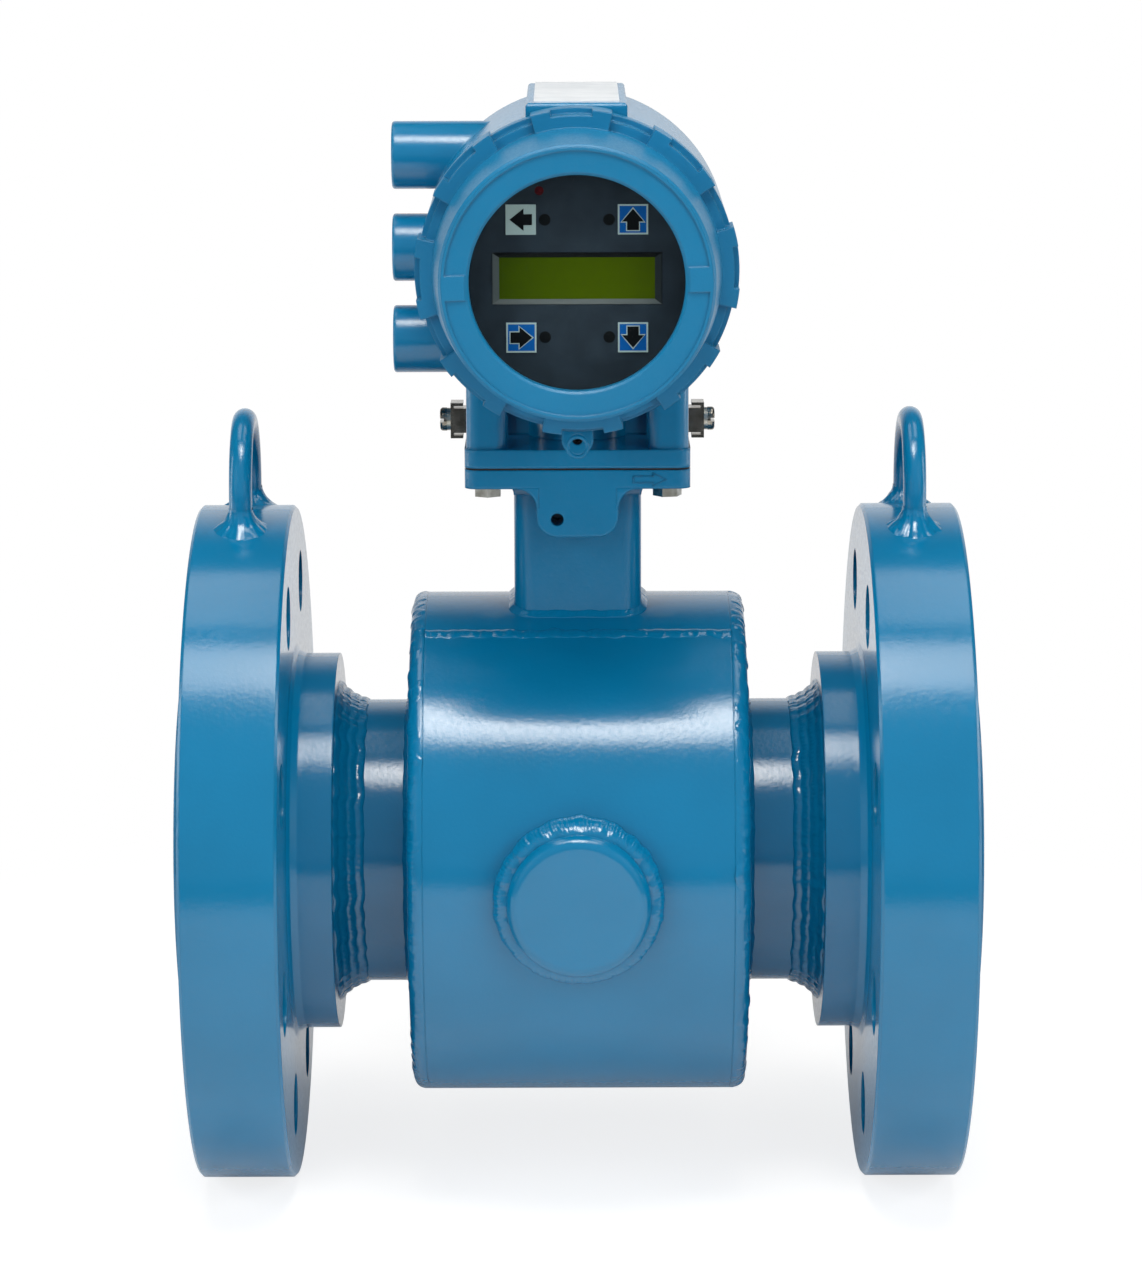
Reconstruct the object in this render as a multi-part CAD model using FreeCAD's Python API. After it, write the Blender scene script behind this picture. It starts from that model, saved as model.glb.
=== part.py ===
import FreeCAD, Part
import math
import os

# Flanged electromagnetic flow meter with an integral transmitter, in millimetres.
# Origin: on the axis of the bore, midway between the two flanges. +X is the direction of flow,
# -Y faces the display, +Z points up the pedestal.

V = FreeCAD.Vector
X_AXIS = V(1, 0, 0)
Y_AXIS = V(0, 1, 0)
Z_AXIS = V(0, 0, 1)
ORIGIN = V(0, 0, 0)

# Flow tube and liner
PIPE_OD = 114.3
PIPE_WALL = 6.02
LINER_WALL = 4.1
LINER_FLARE_THICKNESS = 3.0
LINER_FLARE_DIA = 150.0

# Pipe flanges
FLANGE_GAP = 228.6
FLANGE_OD = 273.05
FLANGE_THICKNESS = 38.1
RAISED_FACE_DIA = 157.2
RAISED_FACE_HEIGHT = 3.35
HUB_DIA = 152.4
HUB_LENGTH = 17.5
HUB_FILLET = 4.0
BOLT_CIRCLE_DIA = 215.9
FLANGE_HOLE_DIA = 25.4
FLANGE_HOLE_COUNT = 8
FLANGE_CHAMFER = 1.2
HUB_WELD_RUN = 8.6
HUB_WELD_HEIGHT = 10.5
HUB_WELD_PASSES = 3

# Coil housing
DRUM_OD = 202.0
DRUM_WALL = 4.5
DRUM_LENGTH = 133.0
END_PLATE_THICKNESS = 6.0
EDGE_RADIUS = 5.0
END_WELD_SIZE = 5.0
SEAM_ANGLE = 23.0
SEAM_HEIGHT = 0.8
SEAM_BEAD_RADIUS = 5.0

# Electrodes and their caps
CAP_OD = 56.0
CAP_PROJECTION = 13.0
CAP_WALL = 4.0
CAP_EDGE_RADIUS = 4.5
CAP_WELD_RUN = 4.6
CAP_WELD_HEIGHT = 7.5
ELECTRODE_DIA = 5.0
ELECTRODE_HEAD_DIA = 9.0
ELECTRODE_HEAD_THICKNESS = 1.6
ELECTRODE_REACH = 80.0
INSULATOR_DIA = 9.0
NUT_FLATS = 8.0
NUT_HEIGHT = 4.0

# Field coils
SHOE_THICKNESS = 4.0
SHOE_HALF_ANGLE = 40.0
SHOE_LENGTH = 70.0
CORE_DIA = 30.0
COIL_OD = 66.0
COIL_CLEARANCE = 0.5
COIL_GAP = 0.6
RETURN_BAND_CLEARANCE = 14.5
RETURN_BAND_THICKNESS = 3.0
RETURN_BAND_WIDTH = 44.0

# Pedestal
COLUMN_WIDTH = 50.6
COLUMN_CORNER = 8.0
COLUMN_FLARE = 5.5
WIRE_PASSAGE_DIA = 24.0
PLATE_WIDTH = 88.6
PLATE_DEPTH = 90.0
PLATE_CORNER = 5.0
PEDESTAL_HEIGHT = 50.8
LOWER_PLATE_THICKNESS = 7.4
GASKET_THICKNESS = 0.8
UPPER_PLATE_THICKNESS = 7.2
APRON_WIDTH = 32.0
APRON_DROP = 19.1
APRON_CORNER = 8.0
APRON_HOLE_DIA = 5.0
APRON_HOLE_OFFSET = 8.0
APRON_HOLE_DROP = 12.2
PEDESTAL_WELD_SIZE = 4.0
MOUNTING_BOLT_SPACING = 70.6
MOUNTING_BOLT_DIA = 6.0
MOUNTING_BOLT_FLATS = 10.0
MOUNTING_BOLT_HEAD = 4.0
MOUNTING_BOLT_GRIP = 14.0
BOLT_CLEARANCE = 0.3

# Lifting lugs
LUG_BAR_DIA = 9.2
LUG_BEND_RADIUS = 39.5
LUG_FOOT_DIA = 20.0
LUG_FOOT_HEIGHT = 8.0

# Transmitter housing
TRANSMITTER_HEIGHT = 75.3
HOUSING_OD = 120.6
HOUSING_FRONT_Y = -76.5
HOUSING_TAPER_START_Y = 26.0
HOUSING_TAPER_END_Y = 44.0
HOUSING_REAR_OD = 113.0
HOUSING_REAR_Y = 60.5
PARTITION_FRONT_Y = -26.0
PARTITION_REAR_Y = -20.0
HOUSING_WALL = 7.0
NECK_LENGTH = 17.5
FRONT_NECK_DIA = 106.0
REAR_NECK_DIA = 95.0
NECK_WALL = 3.5
THREAD_CLEARANCE = 0.3
O_RING_SECTION = 3.0
O_RING_GROOVE = 1.6
POST_WIDTH = 16.0
POST_INSET = 1.4
CENTRE_NECK_DIA = 39.0
SIDE_WEB_WIDTH = 14.0
CONDUIT_Y = -4.5
CONDUIT_SPACING = 36.5
CONDUIT_BOSS_DIA = 26.7
CONDUIT_END_X = -72.8
CONDUIT_BORE_DIA = 18.6
CONDUIT_COUNT = 3
PAD_WIDTH = 38.6
PAD_HEIGHT = 2.1
PAD_CORNER = 1.5
LABEL_THICKNESS = 0.6
LABEL_MARGIN = 3.0
LOCK_BOSS_WIDTH = 12.2
LOCK_BOSS_DROP = 6.1
LOCK_BOSS_LENGTH = 18.0
LOCK_SCREW_DIA = 4.0
LOCK_SCREW_LENGTH = 10.0
LOCK_SCREW_INSET = 1.5
LOCK_SOCKET_FLATS = 2.0

# Threaded covers: castellated rim with eight lugs
LUG_COUNT = 8
LUG_ANGLE = 29.0
LUG_NOTCH_ANGLE = 15.0
COVER_REST_TURN = -1.9
COVER_REAR_GAP = 0.5
RIM_LENGTH = 20.0
LUG_STEP = 3.2
RIM_STEP = 10.0
LUG_HEIGHT = 3.3
NOTCH_DEPTH = 2.2
RIM_FLANGE_HEIGHT = 2.1
FRONT_COVER_DEPTH = 53.0
FRONT_FACE_DIA = 103.2
FRONT_CONE_DIA = 109.6
FRONT_RIM_DIA = 116.6
REAR_COVER_DEPTH = 33.5
REAR_FACE_DIA = 94.0
REAR_CONE_DIA = 100.0
REAR_RIM_DIA = 104.4
COVER_WALL = 4.0
FACE_EDGE_RADIUS = 1.0
WINDOW_DIA = 80.4
WINDOW_BEVEL = 1.0
WINDOW_LIP = 5.5
BORDER_WIDTH = 1.3
BORDER_HEIGHT = 0.7
FACE_PAD_WIDTH = 9.4
SEAL_THICKNESS = 1.0
GLASS_THICKNESS = 7.0
GLASS_CLEARANCE = 0.3
RETAINER_LENGTH = 3.0
RETAINER_WIDTH = 5.0
REAR_GASKET_THICKNESS = 1.0
REAR_GASKET_WIDTH = 5.0

# Display and electronics
BEZEL_DIA = 92.0
BEZEL_THICKNESS = 4.0
BEZEL_GAP = 1.0
LCD_WIDTH = 58.2
LCD_HEIGHT = 15.6
LCD_FRAME_WIDTH = 63.8
LCD_FRAME_HEIGHT = 19.6
LCD_FRAME_DEPTH = 1.2
LCD_THICKNESS = 2.0
KEY_SIZE = 11.3
KEY_THICKNESS = 0.4
KEY_X = 20.9
KEY_Z = 22.1
LED_DIA = 3.4
LED_X = -14.0
LED_Z = 32.8
LED_LENGTH = 5.0
BOARD_DIA = 86.0
BOARD_THICKNESS = 1.6
BOARD_SPACING = 22.0
BOARD_COUNT = 3
STANDOFF_DIA = 6.0
STANDOFF_CIRCLE_DIA = 72.0
STANDOFF_COUNT = 4
TERMINAL_BLOCK_WIDTH = 66.0
TERMINAL_BLOCK_HEIGHT = 46.0
TERMINAL_BLOCK_DEPTH = 16.0
TERMINAL_COUNT = 6
TERMINAL_ROWS = 2
TERMINAL_PITCH = 10.0
TERMINAL_SCREW_DIA = 6.0
TERMINAL_SCREW_HEIGHT = 2.5

# Ground terminals, one on each side of the base
GROUND_Z_ABOVE_PLATE = 5.8
GROUND_BLOCK_SIZE = 9.8
GROUND_BLOCK_LENGTH = 5.8
GROUND_CLAMP_HEIGHT = 14.2
GROUND_CLAMP_DEPTH = 5.0
GROUND_CLAMP_THICKNESS = 1.2
GROUND_WASHER_DIA = 9.0
GROUND_WASHER_THICKNESS = 1.5
GROUND_SCREW_DIA = 5.0
GROUND_HEAD_DIA = 9.4
GROUND_HEAD_HEIGHT = 2.8
GROUND_SCREW_BITE = 8.0
SLOT_WIDTH = 1.5
SLOT_DEPTH = 1.6

# Places worked out from the sizes above
PIPE_R = PIPE_OD / 2
TUBE_BORE_R = PIPE_R - PIPE_WALL
BORE_R = TUBE_BORE_R - LINER_WALL
FLANGE_INNER_X = FLANGE_GAP / 2
FLANGE_OUTER_X = FLANGE_INNER_X + FLANGE_THICKNESS
RAISED_X = FLANGE_OUTER_X + RAISED_FACE_HEIGHT
LINER_X = RAISED_X + LINER_FLARE_THICKNESS
HUB_END_X = FLANGE_INNER_X - HUB_LENGTH
FLANGE_MID_X = (FLANGE_INNER_X + FLANGE_OUTER_X) / 2
DRUM_R = DRUM_OD / 2
DRUM_BORE_R = DRUM_R - DRUM_WALL
RETURN_BAND_RADIUS = DRUM_BORE_R - RETURN_BAND_CLEARANCE
DRUM_END_X = DRUM_LENGTH / 2
SHELL_END_X = DRUM_END_X - END_PLATE_THICKNESS
CAP_R = CAP_OD / 2
CAP_INNER_R = CAP_R - CAP_WALL
CAP_REACH = DRUM_R + CAP_PROJECTION
LOWER_PLATE_BASE = DRUM_R + PEDESTAL_HEIGHT
LOWER_PLATE_TOP = LOWER_PLATE_BASE + LOWER_PLATE_THICKNESS
UPPER_PLATE_BASE = LOWER_PLATE_TOP + GASKET_THICKNESS
UPPER_PLATE_TOP = UPPER_PLATE_BASE + UPPER_PLATE_THICKNESS
HOUSING_AXIS_Z = UPPER_PLATE_TOP + TRANSMITTER_HEIGHT
HOUSING_R = HOUSING_OD / 2
CAVITY_R = HOUSING_R - HOUSING_WALL
PAD_TOP_Z = HOUSING_AXIS_Z + HOUSING_R + PAD_HEIGHT
FRONT_COVER_REAR_Y = HOUSING_FRONT_Y - COVER_REAR_GAP
FRONT_COVER_FACE_Y = FRONT_COVER_REAR_Y - FRONT_COVER_DEPTH
REAR_COVER_FRONT_Y = HOUSING_REAR_Y + COVER_REAR_GAP
REAR_COVER_FACE_Y = REAR_COVER_FRONT_Y + REAR_COVER_DEPTH
GLASS_FRONT_Y = FRONT_COVER_FACE_Y + WINDOW_LIP + SEAL_THICKNESS
GLASS_REAR_Y = GLASS_FRONT_Y + GLASS_THICKNESS
RETAINER_REAR_Y = GLASS_REAR_Y + RETAINER_LENGTH
BEZEL_FRONT_Y = RETAINER_REAR_Y + BEZEL_GAP
BEZEL_REAR_Y = BEZEL_FRONT_Y + BEZEL_THICKNESS
FRONT_CAVITY_R = FRONT_NECK_DIA / 2 - NECK_WALL
REAR_CAVITY_R = REAR_NECK_DIA / 2 - NECK_WALL
COVER_CAVITY_R = FRONT_FACE_DIA / 2 - COVER_WALL
REAR_COVER_CAVITY_R = REAR_FACE_DIA / 2 - COVER_WALL
GROUND_Z = UPPER_PLATE_TOP + GROUND_Z_ABOVE_PLATE
POST_FACE_X = PLATE_WIDTH / 2 - POST_INSET / 2
BOLT_OFFSET = MOUNTING_BOLT_SPACING / 2
SHOE_R = PIPE_R + SHOE_THICKNESS

NODES = {}


def add(name, shape):
    """Keep a finished piece under its node name."""
    NODES[name] = shape


def cylinder(radius, start, end, axis, centre=ORIGIN):
    """A cylinder along an axis, from start to end measured from the centre."""
    base = centre + axis * start
    return Part.makeCylinder(radius, end - start, base, axis)


def tube(outer, inner, start, end, axis, centre=ORIGIN):
    """A straight tube along an axis."""
    body = cylinder(outer, start, end, axis, centre)
    return body.cut(cylinder(inner, start, end, axis, centre))


def box(x0, x1, y0, y1, z0, z1):
    """A box between two corners."""
    return Part.makeBox(x1 - x0, y1 - y0, z1 - z0, V(x0, y0, z0))


def along(axis, centre, distance, radius):
    """The point at a distance along an axis and a radius out from it."""
    side = Z_AXIS if axis != Z_AXIS else X_AXIS
    return centre + axis * distance + side * radius


def revolve(profile, axis, centre=ORIGIN):
    """Turn a closed outline of (distance, radius) points about an axis."""
    points = [along(axis, centre, d, r) for d, r in profile]
    points.append(points[0])
    face = Part.Face(Part.makePolygon(points))
    return face.revolve(centre, axis, 360)


def rounded_prism(width, depth, z0, z1, corner, centre=ORIGIN):
    """An upright prism whose four vertical corners are rounded."""
    x0 = centre.x - width / 2
    y0 = centre.y - depth / 2
    body = box(x0, x0 + width, y0, y0 + depth, z0, z1)
    edges = [e for e in body.Edges if abs(e.tangentAt(e.FirstParameter).z) > 0.99]
    return body.makeFillet(corner, edges)


def fuse(shapes):
    """Join solids that touch into one clean solid."""
    body = shapes[0].multiFuse(shapes[1:])
    return body.removeSplitter()


def hexagon(flats, start, end, axis, centre, turn):
    """A six-sided bar along an axis."""
    radius = flats / math.sqrt(3)
    side = X_AXIS if axis == Z_AXIS else Z_AXIS
    other = axis.cross(side)
    corners = []
    for k in range(7):
        angle = math.radians(turn + 60 * k)
        corners.append(centre + axis * start + side * (radius * math.cos(angle)) + other * (radius * math.sin(angle)))
    return Part.Face(Part.makePolygon(corners)).extrude(axis * (end - start))


def mirror_x(shape):
    """The same piece on the other side of the flow tube."""
    return shape.mirror(ORIGIN, X_AXIS)


def mirror_y(shape):
    """The same piece on the other face of the meter."""
    return shape.mirror(ORIGIN, Y_AXIS)


def mirror_z(shape):
    """The same piece below the axis."""
    return shape.mirror(ORIGIN, Z_AXIS)


def arc_edges(start, end, count, bulge):
    """Convex arcs in a row from start to end, as the passes of a weld lie side by side."""
    edges = []
    step = (end - start) * (1.0 / count)
    out = V(-step.z, 0, step.x) if abs(step.y) < 1e-9 else V(0, -step.z, step.y)
    out.normalize()
    for k in range(count):
        first = start + step * k
        last = first + step
        middle = (first + last) * 0.5 + out * bulge
        edges.append(Part.Arc(first, middle, last).toShape())
    return edges


def flow_tube():
    """The steel tube that carries everything, drilled for the two electrodes."""
    body = tube(PIPE_R, TUBE_BORE_R, -RAISED_X, RAISED_X, X_AXIS)
    drill = cylinder(INSULATOR_DIA / 2, -PIPE_OD, PIPE_OD, Y_AXIS)
    return body.cut(drill)


def tube_liner():
    """The plastic liner: a sleeve that flares over both raised faces."""
    sleeve = tube(TUBE_BORE_R, BORE_R, -LINER_X, LINER_X, X_AXIS)
    flare = tube(LINER_FLARE_DIA / 2, BORE_R, RAISED_X, LINER_X, X_AXIS)
    body = fuse([sleeve, flare, mirror_x(flare)])
    pocket = cylinder(ELECTRODE_HEAD_DIA / 2, BORE_R - LINER_WALL, BORE_R + ELECTRODE_HEAD_THICKNESS, Y_AXIS)
    drill = cylinder(ELECTRODE_DIA / 2, -PIPE_OD, PIPE_OD, Y_AXIS)
    return body.cut(drill).cut(pocket).cut(mirror_y(pocket))


def outlet_flange():
    """A slip-on pipe flange with its raised face and hub."""
    rim_r = FLANGE_OD / 2
    hub_r = HUB_DIA / 2
    bevel = FLANGE_CHAMFER
    face_r = RAISED_FACE_DIA / 2
    outline = [
        (HUB_END_X, PIPE_R),
        (HUB_END_X, hub_r),
        (FLANGE_INNER_X - HUB_FILLET, hub_r),
        (FLANGE_INNER_X - HUB_FILLET * 0.3, hub_r + HUB_FILLET * 0.3),
        (FLANGE_INNER_X, hub_r + HUB_FILLET),
        (FLANGE_INNER_X, rim_r - bevel),
        (FLANGE_INNER_X + bevel, rim_r),
        (FLANGE_OUTER_X - bevel, rim_r),
        (FLANGE_OUTER_X, rim_r - bevel),
        (FLANGE_OUTER_X, face_r),
        (RAISED_X, face_r),
        (RAISED_X, PIPE_R),
    ]
    body = revolve(outline, X_AXIS)
    for k in range(FLANGE_HOLE_COUNT):
        angle = 2 * math.pi * (k + 0.5) / FLANGE_HOLE_COUNT
        y = BOLT_CIRCLE_DIA / 2 * math.sin(angle)
        z = BOLT_CIRCLE_DIA / 2 * math.cos(angle)
        hole = cylinder(FLANGE_HOLE_DIA / 2, FLANGE_INNER_X - 1, RAISED_X, X_AXIS, V(0, y, z))
        body = body.cut(hole)
    return body


def outlet_hub_weld():
    """The cone of weld between the hub and the flow tube, laid in several passes."""
    foot = V(HUB_END_X - HUB_WELD_RUN, 0, PIPE_R)
    top = V(HUB_END_X, 0, PIPE_R + HUB_WELD_HEIGHT)
    corner = V(HUB_END_X, 0, PIPE_R)
    edges = arc_edges(foot, top, HUB_WELD_PASSES, HUB_WELD_RUN * 0.09)
    edges.append(Part.LineSegment(top, corner).toShape())
    edges.append(Part.LineSegment(corner, foot).toShape())
    face = Part.Face(Part.Wire(edges))
    return face.revolve(ORIGIN, X_AXIS, 360)


def coil_housing_shell():
    """The rolled drum round the coils, open at the electrodes and at the pedestal."""
    body = tube(DRUM_R, DRUM_BORE_R, -SHELL_END_X, SHELL_END_X, X_AXIS)
    body = body.cut(cylinder(CAP_INNER_R, -DRUM_OD, DRUM_OD, Y_AXIS))
    return body.cut(cylinder(WIRE_PASSAGE_DIA / 2, 0, DRUM_OD, Z_AXIS))


def outlet_end_plate():
    """The drum's end: a ring with a rounded outer edge."""
    body = tube(DRUM_R, PIPE_R, SHELL_END_X, DRUM_END_X, X_AXIS)
    rim = [e for e in body.Edges if e.BoundBox.XMin > DRUM_END_X - 0.01 and e.BoundBox.ZMax > DRUM_R - 0.01]
    return body.makeFillet(EDGE_RADIUS, rim)


def outlet_end_weld():
    """The fillet weld between the drum's end and the flow tube."""
    outline = [
        (DRUM_END_X, PIPE_R),
        (DRUM_END_X, PIPE_R + END_WELD_SIZE),
        (DRUM_END_X + END_WELD_SIZE * 0.4, PIPE_R + END_WELD_SIZE * 0.7),
        (DRUM_END_X + END_WELD_SIZE, PIPE_R),
    ]
    return revolve(outline, X_AXIS)


def seam_weld():
    """The long bead where the rolled drum closes, high on its front."""
    angle = math.radians(SEAM_ANGLE)
    depth = DRUM_R + SEAM_HEIGHT - SEAM_BEAD_RADIUS
    centre = V(0, -depth * math.sin(angle), depth * math.cos(angle))
    bead = cylinder(SEAM_BEAD_RADIUS, -SHELL_END_X, SHELL_END_X, X_AXIS, centre)
    return bead.cut(cylinder(DRUM_R, -DRUM_LENGTH, DRUM_LENGTH, X_AXIS))


def front_electrode_cap():
    """A deep round cap over the electrode, saddled on the drum."""
    body = cylinder(CAP_R, -CAP_REACH, -DRUM_R / 2, Y_AXIS)
    front = [e for e in body.Edges if e.BoundBox.YMax < -CAP_REACH + 0.01]
    body = body.makeFillet(CAP_EDGE_RADIUS, front)
    hollow = cylinder(CAP_INNER_R, -CAP_REACH + CAP_WALL, 0, Y_AXIS)
    drum = cylinder(DRUM_R, -DRUM_LENGTH, DRUM_LENGTH, X_AXIS)
    return body.cut(hollow).cut(drum)


def front_cap_weld():
    """The ring of weld round the electrode cap, following the drum."""
    top = V(0, -DRUM_R - CAP_WELD_HEIGHT, CAP_R)
    shoulder = V(0, -DRUM_R, CAP_R + CAP_WELD_RUN)
    foot = V(0, -DRUM_R + CAP_WELD_HEIGHT, CAP_R + CAP_WELD_RUN)
    root = V(0, -DRUM_R + CAP_WELD_HEIGHT, CAP_R)
    middle = (top + shoulder) * 0.5 + V(0, -0.9, 1.1)
    edges = [Part.Arc(top, middle, shoulder).toShape()]
    edges.append(Part.LineSegment(shoulder, foot).toShape())
    edges.append(Part.LineSegment(foot, root).toShape())
    edges.append(Part.LineSegment(root, top).toShape())
    ring = Part.Face(Part.Wire(edges)).revolve(ORIGIN, Y_AXIS, 360)
    return ring.cut(cylinder(DRUM_R, -DRUM_LENGTH, DRUM_LENGTH, X_AXIS))


def front_electrode():
    """The sensing electrode: a flat head on the bore and a threaded stem."""
    head = cylinder(ELECTRODE_HEAD_DIA / 2, -BORE_R - ELECTRODE_HEAD_THICKNESS, -BORE_R, Y_AXIS)
    head = head.cut(cylinder(BORE_R, -PIPE_OD, PIPE_OD, X_AXIS))
    stem = cylinder(ELECTRODE_DIA / 2, -ELECTRODE_REACH, -BORE_R - ELECTRODE_HEAD_THICKNESS, Y_AXIS)
    return fuse([head, stem])


def front_insulator():
    """The sleeve that keeps the electrode off the steel tube."""
    start = -PIPE_R - NUT_HEIGHT
    sleeve = tube(INSULATOR_DIA / 2, ELECTRODE_DIA / 2, start, -TUBE_BORE_R, Y_AXIS)
    return sleeve.cut(cylinder(TUBE_BORE_R, -PIPE_OD, PIPE_OD, X_AXIS))


def front_electrode_nut():
    """The nut that pulls the electrode's head against the liner."""
    end = -PIPE_R - NUT_HEIGHT
    body = hexagon(NUT_FLATS, end - NUT_HEIGHT, end, Y_AXIS, ORIGIN, 0)
    return body.cut(cylinder(ELECTRODE_DIA / 2, -PIPE_OD, 0, Y_AXIS))


def upper_pole():
    """A curved shoe on the tube with the round core that the coil sits on."""
    shoe = tube(SHOE_R, PIPE_R, -SHOE_LENGTH / 2, SHOE_LENGTH / 2, X_AXIS)
    half_width = SHOE_R * math.sin(math.radians(SHOE_HALF_ANGLE))
    shoe = shoe.common(box(-SHOE_LENGTH, SHOE_LENGTH, -half_width, half_width, 0, DRUM_R))
    core = cylinder(CORE_DIA / 2, 0, DRUM_R, Z_AXIS)
    core = core.cut(cylinder(PIPE_R, -DRUM_R, DRUM_R, X_AXIS))
    core = core.common(cylinder(RETURN_BAND_RADIUS, -DRUM_R, DRUM_R, X_AXIS))
    return fuse([shoe, core])


def upper_coil():
    """One of the two field coils, wound round its core and just clear of the return band."""
    top = math.sqrt(RETURN_BAND_RADIUS ** 2 - (COIL_OD / 2) ** 2) - COIL_GAP
    return tube(COIL_OD / 2, CORE_DIA / 2 + COIL_CLEARANCE, SHOE_R, top, Z_AXIS)


def flux_return_band():
    """The band that carries the field back round the outside of the coils."""
    outer = RETURN_BAND_RADIUS + RETURN_BAND_THICKNESS
    body = tube(outer, RETURN_BAND_RADIUS, -RETURN_BAND_WIDTH / 2, RETURN_BAND_WIDTH / 2, X_AXIS)
    return body.cut(cylinder(INSULATOR_DIA, -DRUM_OD, DRUM_OD, Y_AXIS))


def pedestal():
    """The cast column, its top plate and the apron in front of it."""
    column = rounded_prism(COLUMN_WIDTH, COLUMN_WIDTH, DRUM_R * 0.8, LOWER_PLATE_BASE + 1, COLUMN_CORNER)
    plate = rounded_prism(PLATE_WIDTH, PLATE_DEPTH, LOWER_PLATE_BASE, LOWER_PLATE_TOP, PLATE_CORNER)
    flare_width = COLUMN_WIDTH + 2 * COLUMN_FLARE
    flare = rounded_prism(flare_width, flare_width, LOWER_PLATE_BASE - COLUMN_FLARE,
                          LOWER_PLATE_BASE, COLUMN_CORNER + COLUMN_FLARE)
    for angle in range(0, 360, 90):
        groove = cylinder(COLUMN_FLARE, -PLATE_WIDTH, PLATE_WIDTH, X_AXIS,
                          V(0, flare_width / 2, LOWER_PLATE_BASE - COLUMN_FLARE))
        groove.rotate(ORIGIN, Z_AXIS, angle)
        flare = flare.cut(groove)
    apron = apron_block()
    body = fuse([column, flare, plate, apron])
    body = body.cut(cylinder(DRUM_R, -DRUM_LENGTH, DRUM_LENGTH, X_AXIS))
    body = body.cut(cylinder(WIRE_PASSAGE_DIA / 2, 0, UPPER_PLATE_TOP, Z_AXIS))
    hole_z = LOWER_PLATE_BASE - APRON_HOLE_DROP
    tapped = cylinder(APRON_HOLE_DIA / 2, -PLATE_DEPTH, -COLUMN_WIDTH / 2 - 2, Y_AXIS,
                      V(-APRON_HOLE_OFFSET, 0, hole_z))
    return body.cut(tapped).cut(bolt_holes(LOWER_PLATE_BASE - 1, LOWER_PLATE_TOP + 1, BOLT_CLEARANCE))


def apron_block():
    """The boss in front of the column, with rounded lower corners."""
    front = -PLATE_DEPTH / 2
    bottom = LOWER_PLATE_BASE - APRON_DROP
    body = box(-APRON_WIDTH / 2, APRON_WIDTH / 2, front, 0, bottom, LOWER_PLATE_BASE + 1)
    lower = [e for e in body.Edges if e.BoundBox.ZMax < bottom + 0.01 and e.BoundBox.YLength > 1]
    body = body.makeFillet(APRON_CORNER, lower)
    return body


def bolt_holes(z0, z1, clearance):
    """The four holes of the pedestal's bolts."""
    radius = MOUNTING_BOLT_DIA / 2 + clearance
    holes = []
    for sx in (-1, 1):
        for sy in (-1, 1):
            holes.append(cylinder(radius, z0, z1, Z_AXIS, V(sx * BOLT_OFFSET, sy * BOLT_OFFSET, 0)))
    return Part.makeCompound(holes)


def pedestal_weld():
    """The weld round the foot of the column, following the drum."""
    width = COLUMN_WIDTH + 2 * PEDESTAL_WELD_SIZE
    top = DRUM_R + PEDESTAL_WELD_SIZE * 0.6
    ring = rounded_prism(width, width, DRUM_R * 0.8, top, COLUMN_CORNER + PEDESTAL_WELD_SIZE)
    upper = [e for e in ring.Edges if e.BoundBox.ZMin > top - 0.01]
    ring = ring.makeChamfer(PEDESTAL_WELD_SIZE * 0.9, upper)
    ring = ring.cut(rounded_prism(COLUMN_WIDTH, COLUMN_WIDTH, 0, top + 1, COLUMN_CORNER))
    return ring.cut(cylinder(DRUM_R, -DRUM_LENGTH, DRUM_LENGTH, X_AXIS))


def pedestal_gasket():
    """The gasket between the pedestal and the transmitter."""
    shape = rounded_prism(PLATE_WIDTH - 1, PLATE_DEPTH - 1, LOWER_PLATE_TOP, UPPER_PLATE_BASE, PLATE_CORNER)
    shape = shape.cut(cylinder(WIRE_PASSAGE_DIA / 2, 0, UPPER_PLATE_TOP, Z_AXIS))
    return shape.cut(bolt_holes(LOWER_PLATE_TOP - 1, UPPER_PLATE_BASE + 1, BOLT_CLEARANCE))


def mounting_bolts():
    """Four hexagon bolts up through the plate into the transmitter's posts."""
    bolts = []
    for sx in (-1, 1):
        for sy in (-1, 1):
            centre = V(sx * BOLT_OFFSET, sy * BOLT_OFFSET, 0)
            turn = 30 if sx < 0 else 10
            head = hexagon(MOUNTING_BOLT_FLATS, LOWER_PLATE_BASE - MOUNTING_BOLT_HEAD,
                           LOWER_PLATE_BASE, Z_AXIS, centre, turn)
            top = UPPER_PLATE_BASE + MOUNTING_BOLT_GRIP
            shank = cylinder(MOUNTING_BOLT_DIA / 2, LOWER_PLATE_BASE, top, Z_AXIS, centre)
            bolts.append(fuse([head, shank]))
    return Part.makeCompound(bolts)


def outlet_lifting_lug():
    """A round bar bent to a half circle over the flange's rim."""
    rim_r = FLANGE_OD / 2
    section_r = LUG_BAR_DIA / 2
    foot_z = rim_r - LUG_BAR_DIA
    top_z = rim_r
    left = V(FLANGE_MID_X, -LUG_BEND_RADIUS, foot_z)
    left_top = V(FLANGE_MID_X, -LUG_BEND_RADIUS, top_z)
    crown = V(FLANGE_MID_X, 0, top_z + LUG_BEND_RADIUS)
    right_top = V(FLANGE_MID_X, LUG_BEND_RADIUS, top_z)
    right = V(FLANGE_MID_X, LUG_BEND_RADIUS, foot_z)
    path = Part.Wire([
        Part.LineSegment(left, left_top).toShape(),
        Part.Arc(left_top, crown, right_top).toShape(),
        Part.LineSegment(right_top, right).toShape(),
    ])
    section = Part.Wire([Part.Circle(left, Z_AXIS, section_r).toShape()])
    bar = path.makePipeShell([section], True, True)
    return bar.cut(cylinder(rim_r, 0, 2 * FLANGE_OUTER_X, X_AXIS))


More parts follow.
